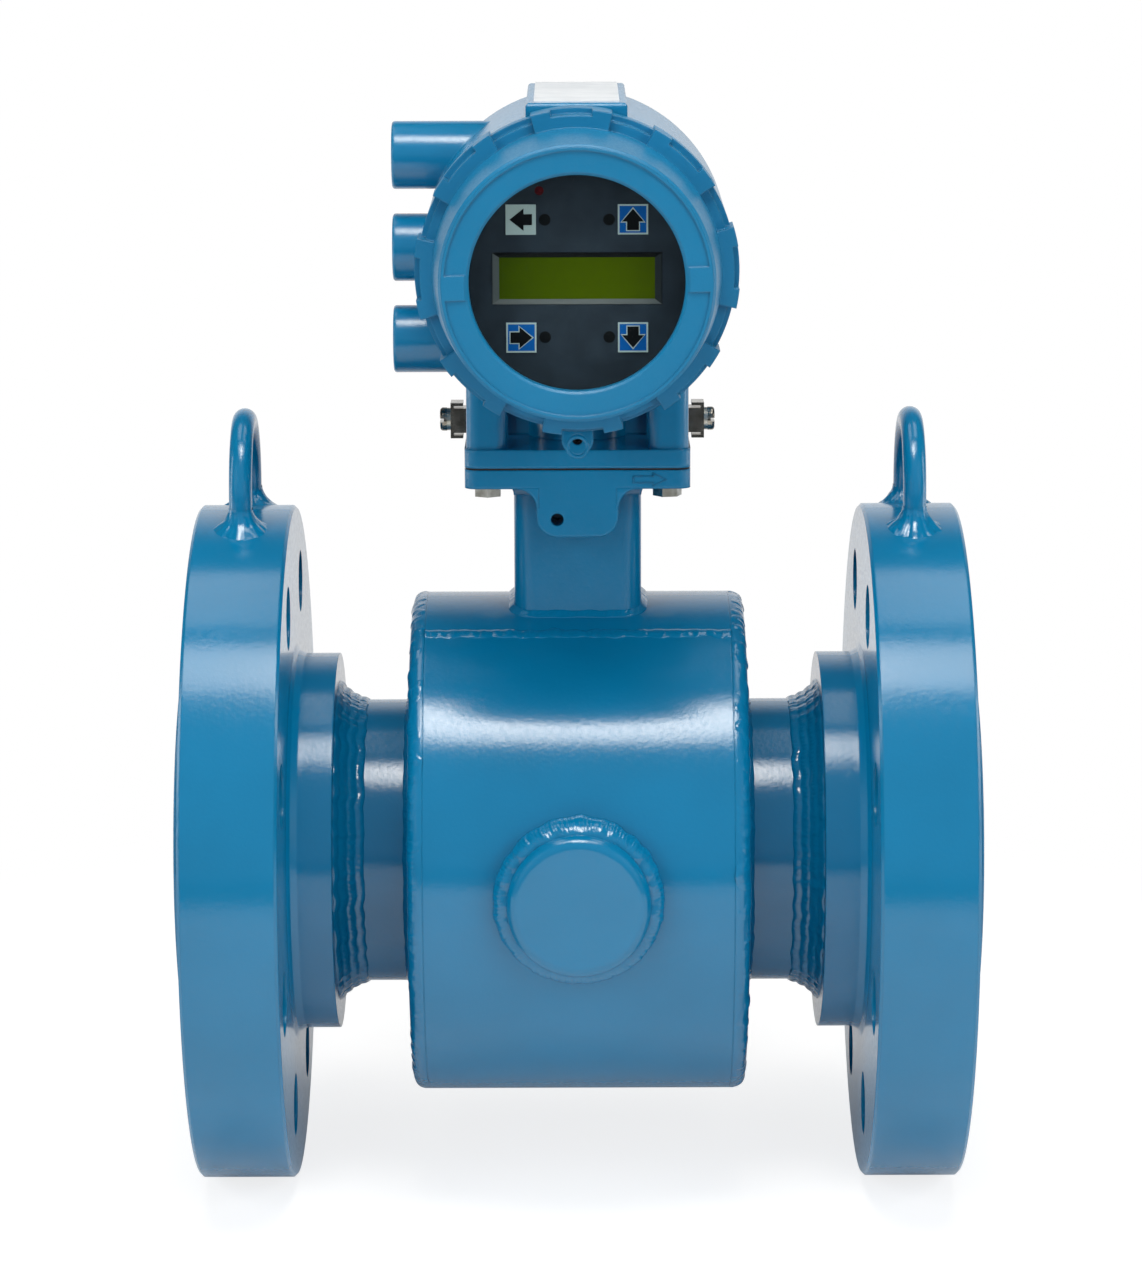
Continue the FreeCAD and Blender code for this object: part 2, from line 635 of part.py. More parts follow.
def outlet_lug_welds():
    """The flared welds at the two feet of a lifting lug."""
    rim_r = FLANGE_OD / 2
    foot_z = math.sqrt(rim_r ** 2 - LUG_BEND_RADIUS ** 2)
    welds = []
    for sy in (-1, 1):
        y = sy * LUG_BEND_RADIUS
        base = V(FLANGE_MID_X, y, foot_z - LUG_FOOT_HEIGHT)
        cone = Part.makeCone(LUG_FOOT_DIA / 2, LUG_BAR_DIA / 2 + 0.6, 2 * LUG_FOOT_HEIGHT, base, Z_AXIS)
        cone = cone.cut(cylinder(LUG_BAR_DIA / 2, 0, 2 * rim_r, Z_AXIS, V(FLANGE_MID_X, y, 0)))
        welds.append(cone.cut(cylinder(rim_r, 0, 2 * FLANGE_OUTER_X, X_AXIS)))
    return Part.makeCompound(welds)


HOUSING_CENTRE = V(0, 0, HOUSING_AXIS_Z)


def housing_barrel():
    """The round body of the transmitter with a threaded neck at each end."""
    front_neck = HOUSING_FRONT_Y - NECK_LENGTH
    rear_neck = HOUSING_REAR_Y + NECK_LENGTH
    groove_r = FRONT_NECK_DIA / 2 - O_RING_GROOVE
    rear_groove_r = REAR_NECK_DIA / 2 - O_RING_GROOVE
    outline = [
        (front_neck, 0),
        (front_neck, FRONT_NECK_DIA / 2),
        (HOUSING_FRONT_Y - O_RING_SECTION, FRONT_NECK_DIA / 2),
        (HOUSING_FRONT_Y - O_RING_SECTION, groove_r),
        (HOUSING_FRONT_Y, groove_r),
        (HOUSING_FRONT_Y, HOUSING_R),
        (HOUSING_TAPER_START_Y, HOUSING_R),
        (HOUSING_TAPER_END_Y, HOUSING_REAR_OD / 2),
        (HOUSING_REAR_Y, HOUSING_REAR_OD / 2),
        (HOUSING_REAR_Y, rear_groove_r),
        (HOUSING_REAR_Y + O_RING_SECTION, rear_groove_r),
        (HOUSING_REAR_Y + O_RING_SECTION, REAR_NECK_DIA / 2),
        (rear_neck, REAR_NECK_DIA / 2),
        (rear_neck, 0),
    ]
    return revolve(outline, Y_AXIS, HOUSING_CENTRE)


def housing_cavities():
    """The display compartment in front and the terminal compartment behind."""
    front_neck = HOUSING_FRONT_Y - NECK_LENGTH
    rear_neck = HOUSING_REAR_Y + NECK_LENGTH
    front = cylinder(FRONT_CAVITY_R, front_neck - 1, PARTITION_FRONT_Y, Y_AXIS, HOUSING_CENTRE)
    rear = revolve([
        (PARTITION_REAR_Y, 0),
        (PARTITION_REAR_Y, CAVITY_R),
        (HOUSING_TAPER_START_Y, CAVITY_R),
        (HOUSING_TAPER_END_Y, REAR_CAVITY_R),
        (rear_neck + 1, REAR_CAVITY_R),
        (rear_neck + 1, 0),
    ], Y_AXIS, HOUSING_CENTRE)
    return [front, rear]


def housing_posts():
    """Four corner posts and two side webs between the base plate and the barrel."""
    solids = []
    top = HOUSING_AXIS_Z - math.sqrt(HOUSING_R ** 2 - POST_FACE_X ** 2) + 6
    face_y = PLATE_DEPTH / 2 - POST_INSET
    for sx in (-1, 1):
        for sy in (-1, 1):
            centre = V(sx * (POST_FACE_X - POST_WIDTH / 2), sy * (face_y - POST_WIDTH / 2), 0)
            post = rounded_prism(POST_WIDTH, POST_WIDTH, UPPER_PLATE_TOP - 1, top, PLATE_CORNER, centre)
            solids.append(post)
        inner = sx * (POST_FACE_X - POST_WIDTH)
        outer = sx * POST_FACE_X
        web = box(min(inner, outer), max(inner, outer), -SIDE_WEB_WIDTH / 2, SIDE_WEB_WIDTH / 2,
                  UPPER_PLATE_TOP - 1, top)
        solids.append(web)
    return solids


def conduit_height(k):
    """Height of a conduit entry above the bore's axis."""
    return HOUSING_AXIS_Z + (k - (CONDUIT_COUNT - 1) / 2) * CONDUIT_SPACING


def conduit_boss(k):
    """A round boss on the left side for one conduit entry."""
    centre = V(0, CONDUIT_Y, conduit_height(k))
    body = cylinder(CONDUIT_BOSS_DIA / 2, CONDUIT_END_X, -HOUSING_R / 3, X_AXIS, centre)
    end = [e for e in body.Edges if e.BoundBox.XMax < CONDUIT_END_X + 0.01]
    return body.makeFillet(1.2, end)


def conduit_bore(k):
    """The entry's bore, from the boss's end into the terminal compartment."""
    centre = V(0, CONDUIT_Y, conduit_height(k))
    return cylinder(CONDUIT_BORE_DIA / 2, CONDUIT_END_X - 1, -HOUSING_R / 3, X_AXIS, centre)


def label_pad():
    """The flat pad along the top of the barrel."""
    half = PAD_WIDTH / 2
    body = box(-half, half, HOUSING_FRONT_Y, HOUSING_TAPER_START_Y, HOUSING_AXIS_Z + HOUSING_R * 0.8, PAD_TOP_Z)
    top = [e for e in body.Edges if e.BoundBox.ZMin > PAD_TOP_Z - 0.01]
    return body.makeFillet(PAD_CORNER, top)


def lock_screw_z():
    """Height of the cover's lock screw."""
    return HOUSING_AXIS_Z - HOUSING_R - LOCK_BOSS_DROP


def lock_boss():
    """The small boss under the barrel for the cover's lock screw."""
    z = lock_screw_z()
    half = LOCK_BOSS_WIDTH / 2
    end = HOUSING_FRONT_Y + LOCK_BOSS_LENGTH
    lower = cylinder(half, HOUSING_FRONT_Y, end, Y_AXIS, V(0, 0, z))
    upper = box(-half, half, HOUSING_FRONT_Y, end, z, HOUSING_AXIS_Z - HOUSING_R * 0.9)
    return fuse([lower, upper])


def transmitter_housing():
    """The cast housing in one piece."""
    base = rounded_prism(PLATE_WIDTH, PLATE_DEPTH, UPPER_PLATE_BASE, UPPER_PLATE_TOP, PLATE_CORNER)
    neck = cylinder(CENTRE_NECK_DIA / 2, UPPER_PLATE_TOP - 1, HOUSING_AXIS_Z - HOUSING_R * 0.8, Z_AXIS)
    bosses = [conduit_boss(k) for k in range(CONDUIT_COUNT)]
    body = fuse([housing_barrel(), base, neck, label_pad(), lock_boss()] + housing_posts() + bosses)
    for cavity in housing_cavities():
        body = body.cut(cavity)
    for k in range(CONDUIT_COUNT):
        body = body.cut(conduit_bore(k))
    body = body.cut(cylinder(WIRE_PASSAGE_DIA / 2, UPPER_PLATE_BASE - 1, HOUSING_AXIS_Z - CAVITY_R / 2, Z_AXIS))
    body = body.cut(bolt_holes(UPPER_PLATE_BASE - 1, UPPER_PLATE_BASE + MOUNTING_BOLT_GRIP + 2, 0))
    lock = cylinder(LOCK_SCREW_DIA / 2, HOUSING_FRONT_Y - 1, HOUSING_FRONT_Y + LOCK_BOSS_LENGTH - 3, Y_AXIS,
                    V(0, 0, lock_screw_z()))
    body = body.cut(lock)
    tapped = cylinder(GROUND_SCREW_DIA / 2, POST_FACE_X - GROUND_SCREW_BITE, PLATE_WIDTH, X_AXIS, V(0, 0, GROUND_Z))
    return body.cut(tapped).cut(mirror_x(tapped))


def name_plate():
    """The bare label on the pad."""
    half = PAD_WIDTH / 2 - LABEL_MARGIN
    middle = (HOUSING_FRONT_Y + HOUSING_TAPER_START_Y) / 2
    length = (HOUSING_TAPER_START_Y - HOUSING_FRONT_Y) / 2 - LABEL_MARGIN
    return box(-half, half, middle - length, middle + length, PAD_TOP_Z, PAD_TOP_Z + LABEL_THICKNESS)


def lock_screw():
    """The socket set screw that locks the display cover, backed off."""
    start = HOUSING_FRONT_Y + LOCK_SCREW_INSET
    centre = V(0, 0, lock_screw_z())
    body = cylinder(LOCK_SCREW_DIA / 2, start, start + LOCK_SCREW_LENGTH, Y_AXIS, centre)
    return body.cut(hexagon(LOCK_SOCKET_FLATS, start - 1, start + 2, Y_AXIS, centre, 0))


def o_ring(neck_dia, y):
    """The ring in the groove at the root of a neck."""
    outer = neck_dia / 2 + THREAD_CLEARANCE / 2
    inner = neck_dia / 2 - O_RING_GROOVE
    length = O_RING_SECTION * 0.8
    bevel = (outer - inner) * 0.3
    outline = [
        (y - length / 2, inner),
        (y - length / 2, outer - bevel),
        (y - length / 2 + bevel, outer),
        (y + length / 2 - bevel, outer),
        (y + length / 2, outer - bevel),
        (y + length / 2, inner),
    ]
    return revolve(outline, Y_AXIS, HOUSING_CENTRE)


def sector(inner, outer, y0, y1, middle_angle, width_angle):
    """A block of a ring about the housing's axis, angles measured from the top."""
    ring = tube(outer, inner, y0, y1, Y_AXIS, HOUSING_CENTRE)
    reach = outer * 2
    first = math.radians(middle_angle - width_angle / 2)
    last = math.radians(middle_angle + width_angle / 2)
    a = HOUSING_CENTRE + V(math.sin(first) * reach, y0, math.cos(first) * reach)
    b = HOUSING_CENTRE + V(math.sin(last) * reach, y0, math.cos(last) * reach)
    o = HOUSING_CENTRE + V(0, y0, 0)
    wedge = Part.Face(Part.makePolygon([o, a, b, o])).extrude(V(0, y1 - y0, 0))
    return ring.common(wedge)


def castellated_rim(core_r, rear_y, forward):
    """Rim solids of a cover: a core, a full flange at its open end and eight lugs.

    forward is -1 for a cover that closes the front and 1 for one that closes the rear.
    """
    def span(start, end):
        a = rear_y + forward * start
        b = rear_y + forward * end
        return min(a, b), max(a, b)

    lug_r = core_r + LUG_HEIGHT
    y0, y1 = span(0, RIM_LENGTH - LUG_STEP)
    solids = [cylinder(core_r, y0, y1, Y_AXIS, HOUSING_CENTRE)]
    y0, y1 = span(0, RIM_LENGTH - RIM_STEP)
    solids.append(cylinder(core_r + RIM_FLANGE_HEIGHT, y0, y1, Y_AXIS, HOUSING_CENTRE))
    for k in range(LUG_COUNT):
        middle = 360.0 * k / LUG_COUNT
        y0, y1 = span(0, RIM_LENGTH)
        lug = sector(core_r * 0.8, lug_r, y0, y1, middle, LUG_ANGLE)
        y0, y1 = span(RIM_LENGTH - RIM_STEP, RIM_LENGTH + 1)
        notch = sector(lug_r - NOTCH_DEPTH, lug_r + 1, y0, y1, middle, LUG_NOTCH_ANGLE)
        solids.append(lug.cut(notch))
    return solids


def display_cover():
    """The front cover: a cone-sided cup with a castellated rim and a round window."""
    rear = FRONT_COVER_REAR_Y
    face = FRONT_COVER_FACE_Y
    face_r = FRONT_FACE_DIA / 2
    cone = revolve([
        (rear, 0),
        (rear, FRONT_CONE_DIA / 2),
        (rear - RIM_LENGTH, FRONT_CONE_DIA / 2),
        (face + FACE_EDGE_RADIUS, face_r),
        (face, face_r - FACE_EDGE_RADIUS),
        (face, 0),
    ], Y_AXIS, HOUSING_CENTRE)
    body = fuse([cone] + castellated_rim(FRONT_RIM_DIA / 2, rear, -1) + face_borders())
    bore_r = FRONT_NECK_DIA / 2 + THREAD_CLEARANCE
    thread_end = HOUSING_FRONT_Y - NECK_LENGTH - 1
    window_r = WINDOW_DIA / 2
    hollow = revolve([
        (rear + 1, 0),
        (rear + 1, bore_r),
        (thread_end, bore_r),
        (thread_end, COVER_CAVITY_R),
        (face + WINDOW_LIP, COVER_CAVITY_R),
        (face + WINDOW_LIP, window_r),
        (face + WINDOW_BEVEL, window_r),
        (face - BORDER_HEIGHT - 1, window_r + WINDOW_BEVEL + BORDER_HEIGHT + 1),
        (face - BORDER_HEIGHT - 1, 0),
    ], Y_AXIS, HOUSING_CENTRE)
    body = body.cut(hollow)
    body.rotate(HOUSING_CENTRE, Y_AXIS, COVER_REST_TURN)
    return body


def face_borders():
    """The raised lip round the cover's face and the two pads across it."""
    face = FRONT_COVER_FACE_Y
    outer = FRONT_FACE_DIA / 2 - FACE_EDGE_RADIUS
    solids = [tube(outer, outer - BORDER_WIDTH, face - BORDER_HEIGHT, face + 1, Y_AXIS, HOUSING_CENTRE)]
    pad = box(WINDOW_DIA / 2, outer - BORDER_WIDTH / 2, face - BORDER_HEIGHT, face + 1,
              HOUSING_AXIS_Z - FACE_PAD_WIDTH / 2, HOUSING_AXIS_Z + FACE_PAD_WIDTH / 2)
    solids.append(pad)
    solids.append(mirror_x(pad))
    return solids


def window_seal():
    """The flat seal between the glass and the cover's lip."""
    start = FRONT_COVER_FACE_Y + WINDOW_LIP
    outer = COVER_CAVITY_R - GLASS_CLEARANCE
    return tube(outer, WINDOW_DIA / 2 + 1, start, start + SEAL_THICKNESS, Y_AXIS, HOUSING_CENTRE)


def window_glass():
    """The thick round glass of the display window."""
    return cylinder(COVER_CAVITY_R - GLASS_CLEARANCE, GLASS_FRONT_Y, GLASS_REAR_Y, Y_AXIS, HOUSING_CENTRE)


def window_retainer():
    """The ring screwed in behind the glass."""
    outer = COVER_CAVITY_R
    return tube(outer, outer - RETAINER_WIDTH, GLASS_REAR_Y, RETAINER_REAR_Y, Y_AXIS, HOUSING_CENTRE)


def terminal_cover():
    """The blank rear cover, a shallow cup with the same castellated rim."""
    front = REAR_COVER_FRONT_Y
    face = REAR_COVER_FACE_Y
    face_r = REAR_FACE_DIA / 2
    cone = revolve([
        (front, 0),
        (front, REAR_CONE_DIA / 2),
        (front + RIM_LENGTH, REAR_CONE_DIA / 2),
        (face - FACE_EDGE_RADIUS, face_r),
        (face, face_r - FACE_EDGE_RADIUS),
        (face, 0),
    ], Y_AXIS, HOUSING_CENTRE)
    body = fuse([cone] + castellated_rim(REAR_RIM_DIA / 2, front, 1))
    bore_r = REAR_NECK_DIA / 2 + THREAD_CLEARANCE
    thread_end = HOUSING_REAR_Y + NECK_LENGTH + 1
    hollow = revolve([
        (front - 1, 0),
        (front - 1, bore_r),
        (thread_end, bore_r),
        (thread_end, REAR_COVER_CAVITY_R),
        (face - COVER_WALL, REAR_COVER_CAVITY_R),
        (face - COVER_WALL, 0),
    ], Y_AXIS, HOUSING_CENTRE)
    return body.cut(hollow)


def terminal_cover_gasket():
    """The flat ring that lies inside the rear cover."""
    end = REAR_COVER_FACE_Y - COVER_WALL
    outer = REAR_COVER_CAVITY_R - GLASS_CLEARANCE
    return tube(outer, outer - REAR_GASKET_WIDTH, end - REAR_GASKET_THICKNESS, end, Y_AXIS, HOUSING_CENTRE)


def centred_box(x, z, width, height, y0, y1):
    """A box on the display's face, placed from the housing's axis."""
    z += HOUSING_AXIS_Z
    return box(x - width / 2, x + width / 2, y0, y1, z - height / 2, z + height / 2)


def display_bezel():
    """The dark face plate with its recessed frame and the opening for the panel."""
    y0 = BEZEL_FRONT_Y
    y1 = BEZEL_REAR_Y
    body = cylinder(BEZEL_DIA / 2, y0, y1, Y_AXIS, HOUSING_CENTRE)
    body = body.cut(centred_box(0, 0, LCD_FRAME_WIDTH, LCD_FRAME_HEIGHT, y0 - 1, y0 + LCD_FRAME_DEPTH))
    body = body.cut(centred_box(0, 0, LCD_WIDTH, LCD_HEIGHT, y0 - 1, y1 + 1))
    led = V(LED_X, 0, HOUSING_AXIS_Z + LED_Z)
    return body.cut(cylinder(LED_DIA / 2, y0 - 1, y1 + 1, Y_AXIS, led))


def lcd_panel():
    """The liquid crystal panel behind the frame."""
    front = BEZEL_FRONT_Y + LCD_FRAME_DEPTH
    return centred_box(0, 0, LCD_WIDTH, LCD_HEIGHT, front, front + LCD_THICKNESS)


def display_leds():
    """The status lamp."""
    centre = V(LED_X, 0, HOUSING_AXIS_Z + LED_Z)
    return cylinder(LED_DIA / 2, BEZEL_FRONT_Y + 0.3, BEZEL_FRONT_Y + 0.3 + LED_LENGTH, Y_AXIS, centre)


def key_labels():
    """The four square key fields on the face plate."""
    keys = []
    for sx in (-1, 1):
        for sz in (-1, 1):
            keys.append(centred_box(sx * KEY_X, sz * KEY_Z, KEY_SIZE, KEY_SIZE,
                                    BEZEL_FRONT_Y - KEY_THICKNESS, BEZEL_FRONT_Y))
    return Part.makeCompound(keys)


def board_front_y(k):
    """Where a circuit board starts, counted from the one behind the display."""
    return BEZEL_REAR_Y + LED_LENGTH + k * BOARD_SPACING


def circuit_boards():
    """The stack of round circuit boards in the display compartment."""
    boards = []
    for k in range(BOARD_COUNT):
        y = board_front_y(k)
        boards.append(cylinder(BOARD_DIA / 2, y, y + BOARD_THICKNESS, Y_AXIS, HOUSING_CENTRE))
    return Part.makeCompound(boards)


def standoffs():
    """The pillars that carry the boards and the face plate from the partition."""
    pillars = []
    stops = [BEZEL_REAR_Y]
    for k in range(BOARD_COUNT):
        stops += [board_front_y(k), board_front_y(k) + BOARD_THICKNESS]
    stops.append(PARTITION_FRONT_Y)
    for k in range(STANDOFF_COUNT):
        angle = 2 * math.pi * (k + 0.5) / STANDOFF_COUNT
        x = STANDOFF_CIRCLE_DIA / 2 * math.cos(angle)
        z = STANDOFF_CIRCLE_DIA / 2 * math.sin(angle)
        for first, last in zip(stops[0::2], stops[1::2]):
            pillars.append(cylinder(STANDOFF_DIA / 2, first, last, Y_AXIS, HOUSING_CENTRE + V(x, 0, z)))
    return Part.makeCompound(pillars)


def terminal_block():
    """The block of wiring terminals on the partition."""
    end = PARTITION_REAR_Y + TERMINAL_BLOCK_DEPTH
    return centred_box(0, 0, TERMINAL_BLOCK_WIDTH, TERMINAL_BLOCK_HEIGHT, PARTITION_REAR_Y, end)


def terminal_screws():
    """Two rows of terminal screws."""
    face = PARTITION_REAR_Y + TERMINAL_BLOCK_DEPTH
    screws = []
    for row in range(TERMINAL_ROWS):
        z = HOUSING_AXIS_Z + (row - (TERMINAL_ROWS - 1) / 2) * TERMINAL_BLOCK_HEIGHT / TERMINAL_ROWS
        for k in range(TERMINAL_COUNT):
            x = (k - (TERMINAL_COUNT - 1) / 2) * TERMINAL_PITCH
            screws.append(cylinder(TERMINAL_SCREW_DIA / 2, face, face + TERMINAL_SCREW_HEIGHT, Y_AXIS, V(x, 0, z)))
    return Part.makeCompound(screws)


def both_sides(shape):
    """A ground terminal piece on the right side and its twin on the left."""
    return Part.makeCompound([shape, mirror_x(shape)])


GROUND_BLOCK_END_X = POST_FACE_X + GROUND_BLOCK_LENGTH
GROUND_CLAMP_END_X = GROUND_BLOCK_END_X + GROUND_CLAMP_THICKNESS
GROUND_WASHER_END_X = GROUND_CLAMP_END_X + GROUND_WASHER_THICKNESS
GROUND_CENTRE = V(0, 0, GROUND_Z)


def ground_drill():
    """The clearance hole of the ground screw through its pieces."""
    return cylinder(GROUND_SCREW_DIA / 2 + 0.1, 0, PLATE_WIDTH, X_AXIS, GROUND_CENTRE)


def ground_block():
    """The square block against the housing."""
    half = GROUND_BLOCK_SIZE / 2
    body = box(POST_FACE_X, GROUND_BLOCK_END_X, -half, half, GROUND_Z - half, GROUND_Z + half)
    return body.cut(ground_drill())


def ground_clamp():
    """The channel-shaped clamp over the block."""
    half_y = GROUND_BLOCK_SIZE / 2
    half_z = GROUND_CLAMP_HEIGHT / 2
    start = GROUND_CLAMP_END_X - GROUND_CLAMP_DEPTH
    body = box(start, GROUND_CLAMP_END_X, -half_y, half_y, GROUND_Z - half_z, GROUND_Z + half_z)
    inner = half_z - GROUND_CLAMP_THICKNESS
    body = body.cut(box(start - 1, GROUND_BLOCK_END_X, -half_y, half_y, GROUND_Z - inner, GROUND_Z + inner))
    return body.cut(ground_drill())


def ground_washer():
    """The spring washer under the screw's head."""
    body = cylinder(GROUND_WASHER_DIA / 2, GROUND_CLAMP_END_X, GROUND_WASHER_END_X, X_AXIS, GROUND_CENTRE)
    return body.cut(ground_drill())


def ground_screw():
    """The slotted pan-head screw."""
    end = GROUND_WASHER_END_X + GROUND_HEAD_HEIGHT
    head = cylinder(GROUND_HEAD_DIA / 2, GROUND_WASHER_END_X, end, X_AXIS, GROUND_CENTRE)
    outer = [e for e in head.Edges if e.BoundBox.XMin > end - 0.01]
    head = head.makeFillet(GROUND_HEAD_HEIGHT * 0.45, outer)
    half = SLOT_WIDTH / 2
    slot = box(end - SLOT_DEPTH, end + 1, -GROUND_HEAD_DIA, GROUND_HEAD_DIA, GROUND_Z - half, GROUND_Z + half)
    shank = cylinder(GROUND_SCREW_DIA / 2, POST_FACE_X - GROUND_SCREW_BITE, GROUND_WASHER_END_X, X_AXIS, GROUND_CENTRE)
    return fuse([head.cut(slot), shank])


def front_and_rear(shape):
    """A piece of the front electrode and its twin behind."""
    return Part.makeCompound([shape, mirror_y(shape)])


def build():
    """Make every node."""
    add("flow_tube", flow_tube())
    add("tube_liner", tube_liner())
    flange = outlet_flange()
    add("outlet_flange", flange)
    add("inlet_flange", mirror_x(flange))
    weld = outlet_hub_weld()
    add("outlet_hub_weld", weld)
    add("inlet_hub_weld", mirror_x(weld))
    add("coil_housing_shell", coil_housing_shell())
    plate = outlet_end_plate()
    add("outlet_end_plate", plate)
    add("inlet_end_plate", mirror_x(plate))
    end_weld = outlet_end_weld()
    add("end_plate_welds", Part.makeCompound([end_weld, mirror_x(end_weld)]))
    add("seam_weld", seam_weld())
    cap = front_electrode_cap()
    add("front_electrode_cap", cap)
    add("rear_electrode_cap", mirror_y(cap))
    add("electrode_cap_welds", front_and_rear(front_cap_weld()))
    add("electrodes", front_and_rear(front_electrode()))
    add("electrode_insulators", front_and_rear(front_insulator()))
    add("electrode_nuts", front_and_rear(front_electrode_nut()))
    pole = upper_pole()
    add("upper_pole", pole)
    add("lower_pole", mirror_z(pole))
    coil = upper_coil()
    add("upper_coil", coil)
    add("lower_coil", mirror_z(coil))
    add("flux_return_band", flux_return_band())
    add("pedestal", pedestal())
    add("pedestal_weld", pedestal_weld())
    add("pedestal_gasket", pedestal_gasket())
    add("mounting_bolts", mounting_bolts())
    lug = outlet_lifting_lug()
    add("outlet_lifting_lug", lug)
    add("inlet_lifting_lug", mirror_x(lug))
    lug_weld = outlet_lug_welds()
    add("lifting_lug_welds", Part.makeCompound([lug_weld, mirror_x(lug_weld)]))
    add("transmitter_housing", transmitter_housing())
    add("name_plate", name_plate())
    add("cover_lock_screw", lock_screw())
    front_ring = o_ring(FRONT_NECK_DIA, HOUSING_FRONT_Y - O_RING_SECTION / 2)
    rear_ring = o_ring(REAR_NECK_DIA, HOUSING_REAR_Y + O_RING_SECTION / 2)
    add("cover_o_rings", Part.makeCompound([front_ring, rear_ring]))
    add("ground_blocks", both_sides(ground_block()))
    add("ground_clamps", both_sides(ground_clamp()))
    add("ground_washers", both_sides(ground_washer()))
    add("ground_screws", both_sides(ground_screw()))
    add("display_bezel", display_bezel())
    add("lcd_panel", lcd_panel())
    add("status_led", display_leds())
    add("key_labels", key_labels())
    add("circuit_boards", circuit_boards())
    add("standoffs", standoffs())
    add("terminal_block", terminal_block())
    add("terminal_screws", terminal_screws())
    add("window_seal", window_seal())
    add("window_glass", window_glass())
    add("window_retainer", window_retainer())
    add("display_cover", display_cover())
    add("terminal_cover_gasket", terminal_cover_gasket())
    add("terminal_cover", terminal_cover())


build()
os.makedirs("parts", exist_ok=True)
for name, shape in NODES.items():
    if not shape.isValid():
        raise ValueError("not a valid shape: " + name)
    shape.exportStep("parts/" + name + ".step")
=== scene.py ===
import math

import bpy
from bpy.props import FloatProperty, FloatVectorProperty, PointerProperty
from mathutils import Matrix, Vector, noise


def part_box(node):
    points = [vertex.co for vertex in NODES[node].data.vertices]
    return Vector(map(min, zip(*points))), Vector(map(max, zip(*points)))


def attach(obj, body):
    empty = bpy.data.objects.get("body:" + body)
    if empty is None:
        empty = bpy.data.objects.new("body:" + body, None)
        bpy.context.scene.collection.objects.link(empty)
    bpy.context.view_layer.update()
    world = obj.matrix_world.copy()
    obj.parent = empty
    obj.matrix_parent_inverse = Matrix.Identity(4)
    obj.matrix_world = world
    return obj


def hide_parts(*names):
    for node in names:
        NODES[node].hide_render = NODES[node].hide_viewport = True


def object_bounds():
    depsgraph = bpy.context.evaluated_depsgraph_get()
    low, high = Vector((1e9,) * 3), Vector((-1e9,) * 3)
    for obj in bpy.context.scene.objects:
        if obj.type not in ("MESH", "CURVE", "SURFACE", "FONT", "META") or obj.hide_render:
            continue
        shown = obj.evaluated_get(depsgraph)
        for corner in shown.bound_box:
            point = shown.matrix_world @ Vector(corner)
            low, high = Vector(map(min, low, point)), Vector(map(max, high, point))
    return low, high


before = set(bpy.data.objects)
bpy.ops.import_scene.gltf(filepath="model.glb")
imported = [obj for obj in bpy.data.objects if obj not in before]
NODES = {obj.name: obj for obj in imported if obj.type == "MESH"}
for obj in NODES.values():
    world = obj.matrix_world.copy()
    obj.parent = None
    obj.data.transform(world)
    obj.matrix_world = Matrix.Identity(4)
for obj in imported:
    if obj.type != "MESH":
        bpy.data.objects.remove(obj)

bl_info = {
    "name": "Electromagnetic flow meter",
    "version": (1, 0, 0),
    "blender": (4, 5, 0),
    "location": "View3D > Sidebar > Flow meter",
    "description": "Finishes a flanged flow meter: welds, cast covers, display face, hardware and studio",
    "category": "Object",
}

MM = 0.001
CAD_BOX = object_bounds()

# The two ends of the tube: the sign of their x and the first word of their nodes' names.
ENDS = ((-1, "inlet"), (1, "outlet"))

# Places on the flanges and the transmitter housing, in metres.
RIM_CENTRE_X = 133.35 * MM
BASE_TOP_Z = 167.0 * MM
BARREL_AXIS_Z = 242.5 * MM
BARREL_R = 60.0 * MM


def linear(code):
    """An sRGB hex colour as the linear red, green, blue and alpha that shaders take."""
    channels = [int(code[i:i + 2], 16) / 255 for i in (1, 3, 5)]
    curve = [c / 12.92 if c <= 0.04045 else ((c + 0.055) / 1.055) ** 2.4 for c in channels]
    return (*curve, 1.0)


def middle(node):
    """The centre of a CAD node's box."""
    low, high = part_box(node)
    return (low + high) / 2


def end_x(box, side):
    """Where a box ends towards the inlet (-1) or the outlet (1)."""
    low, high = box
    return high.x if side > 0 else low.x


# ---------------------------------------------------------------- materials

def add(tree, kind, inputs=None, **settings):
    """Add a shader node with its settings; an input takes a value or another node's output."""
    made = tree.nodes.new(kind)
    for key, value in settings.items():
        setattr(made, key, value)
    for key, value in (inputs or {}).items():
        if isinstance(value, bpy.types.NodeSocket):
            tree.links.new(value, made.inputs[key])
        else:
            made.inputs[key].default_value = value
    return made


def start_material(name, coordinates="Object"):
    """A new material; gives it, its node tree and the coordinates that its patterns lie in."""
    material = bpy.data.materials.new(name)
    material.use_nodes = True
    tree = material.node_tree
    tree.nodes.clear()
    return material, tree, add(tree, "ShaderNodeTexCoord").outputs[coordinates]


def surface(material, inputs):
    """Close a material with one Principled shader that takes these inputs, and give it back."""
    tree = material.node_tree
    shader = add(tree, "ShaderNodeBsdfPrincipled", inputs)
    add(tree, "ShaderNodeOutputMaterial", {"Surface": shader.outputs["BSDF"]})
    return material


def mottled(tree, where, grain_mm, light, dark):
    """A colour that drifts between two hex colours in patches of a real size."""
    patches = add(tree, "ShaderNodeTexNoise", {
        "Vector": where, "Scale": 1 / (grain_mm * MM), "Detail": 3.0})
    ramp = add(tree, "ShaderNodeValToRGB", {"Fac": patches.outputs["Fac"]})
    for element, position, code in zip(ramp.color_ramp.elements, (0.35, 0.65), (dark, light)):
        element.position = position
        element.color = linear(code)
    return ramp.outputs["Color"]


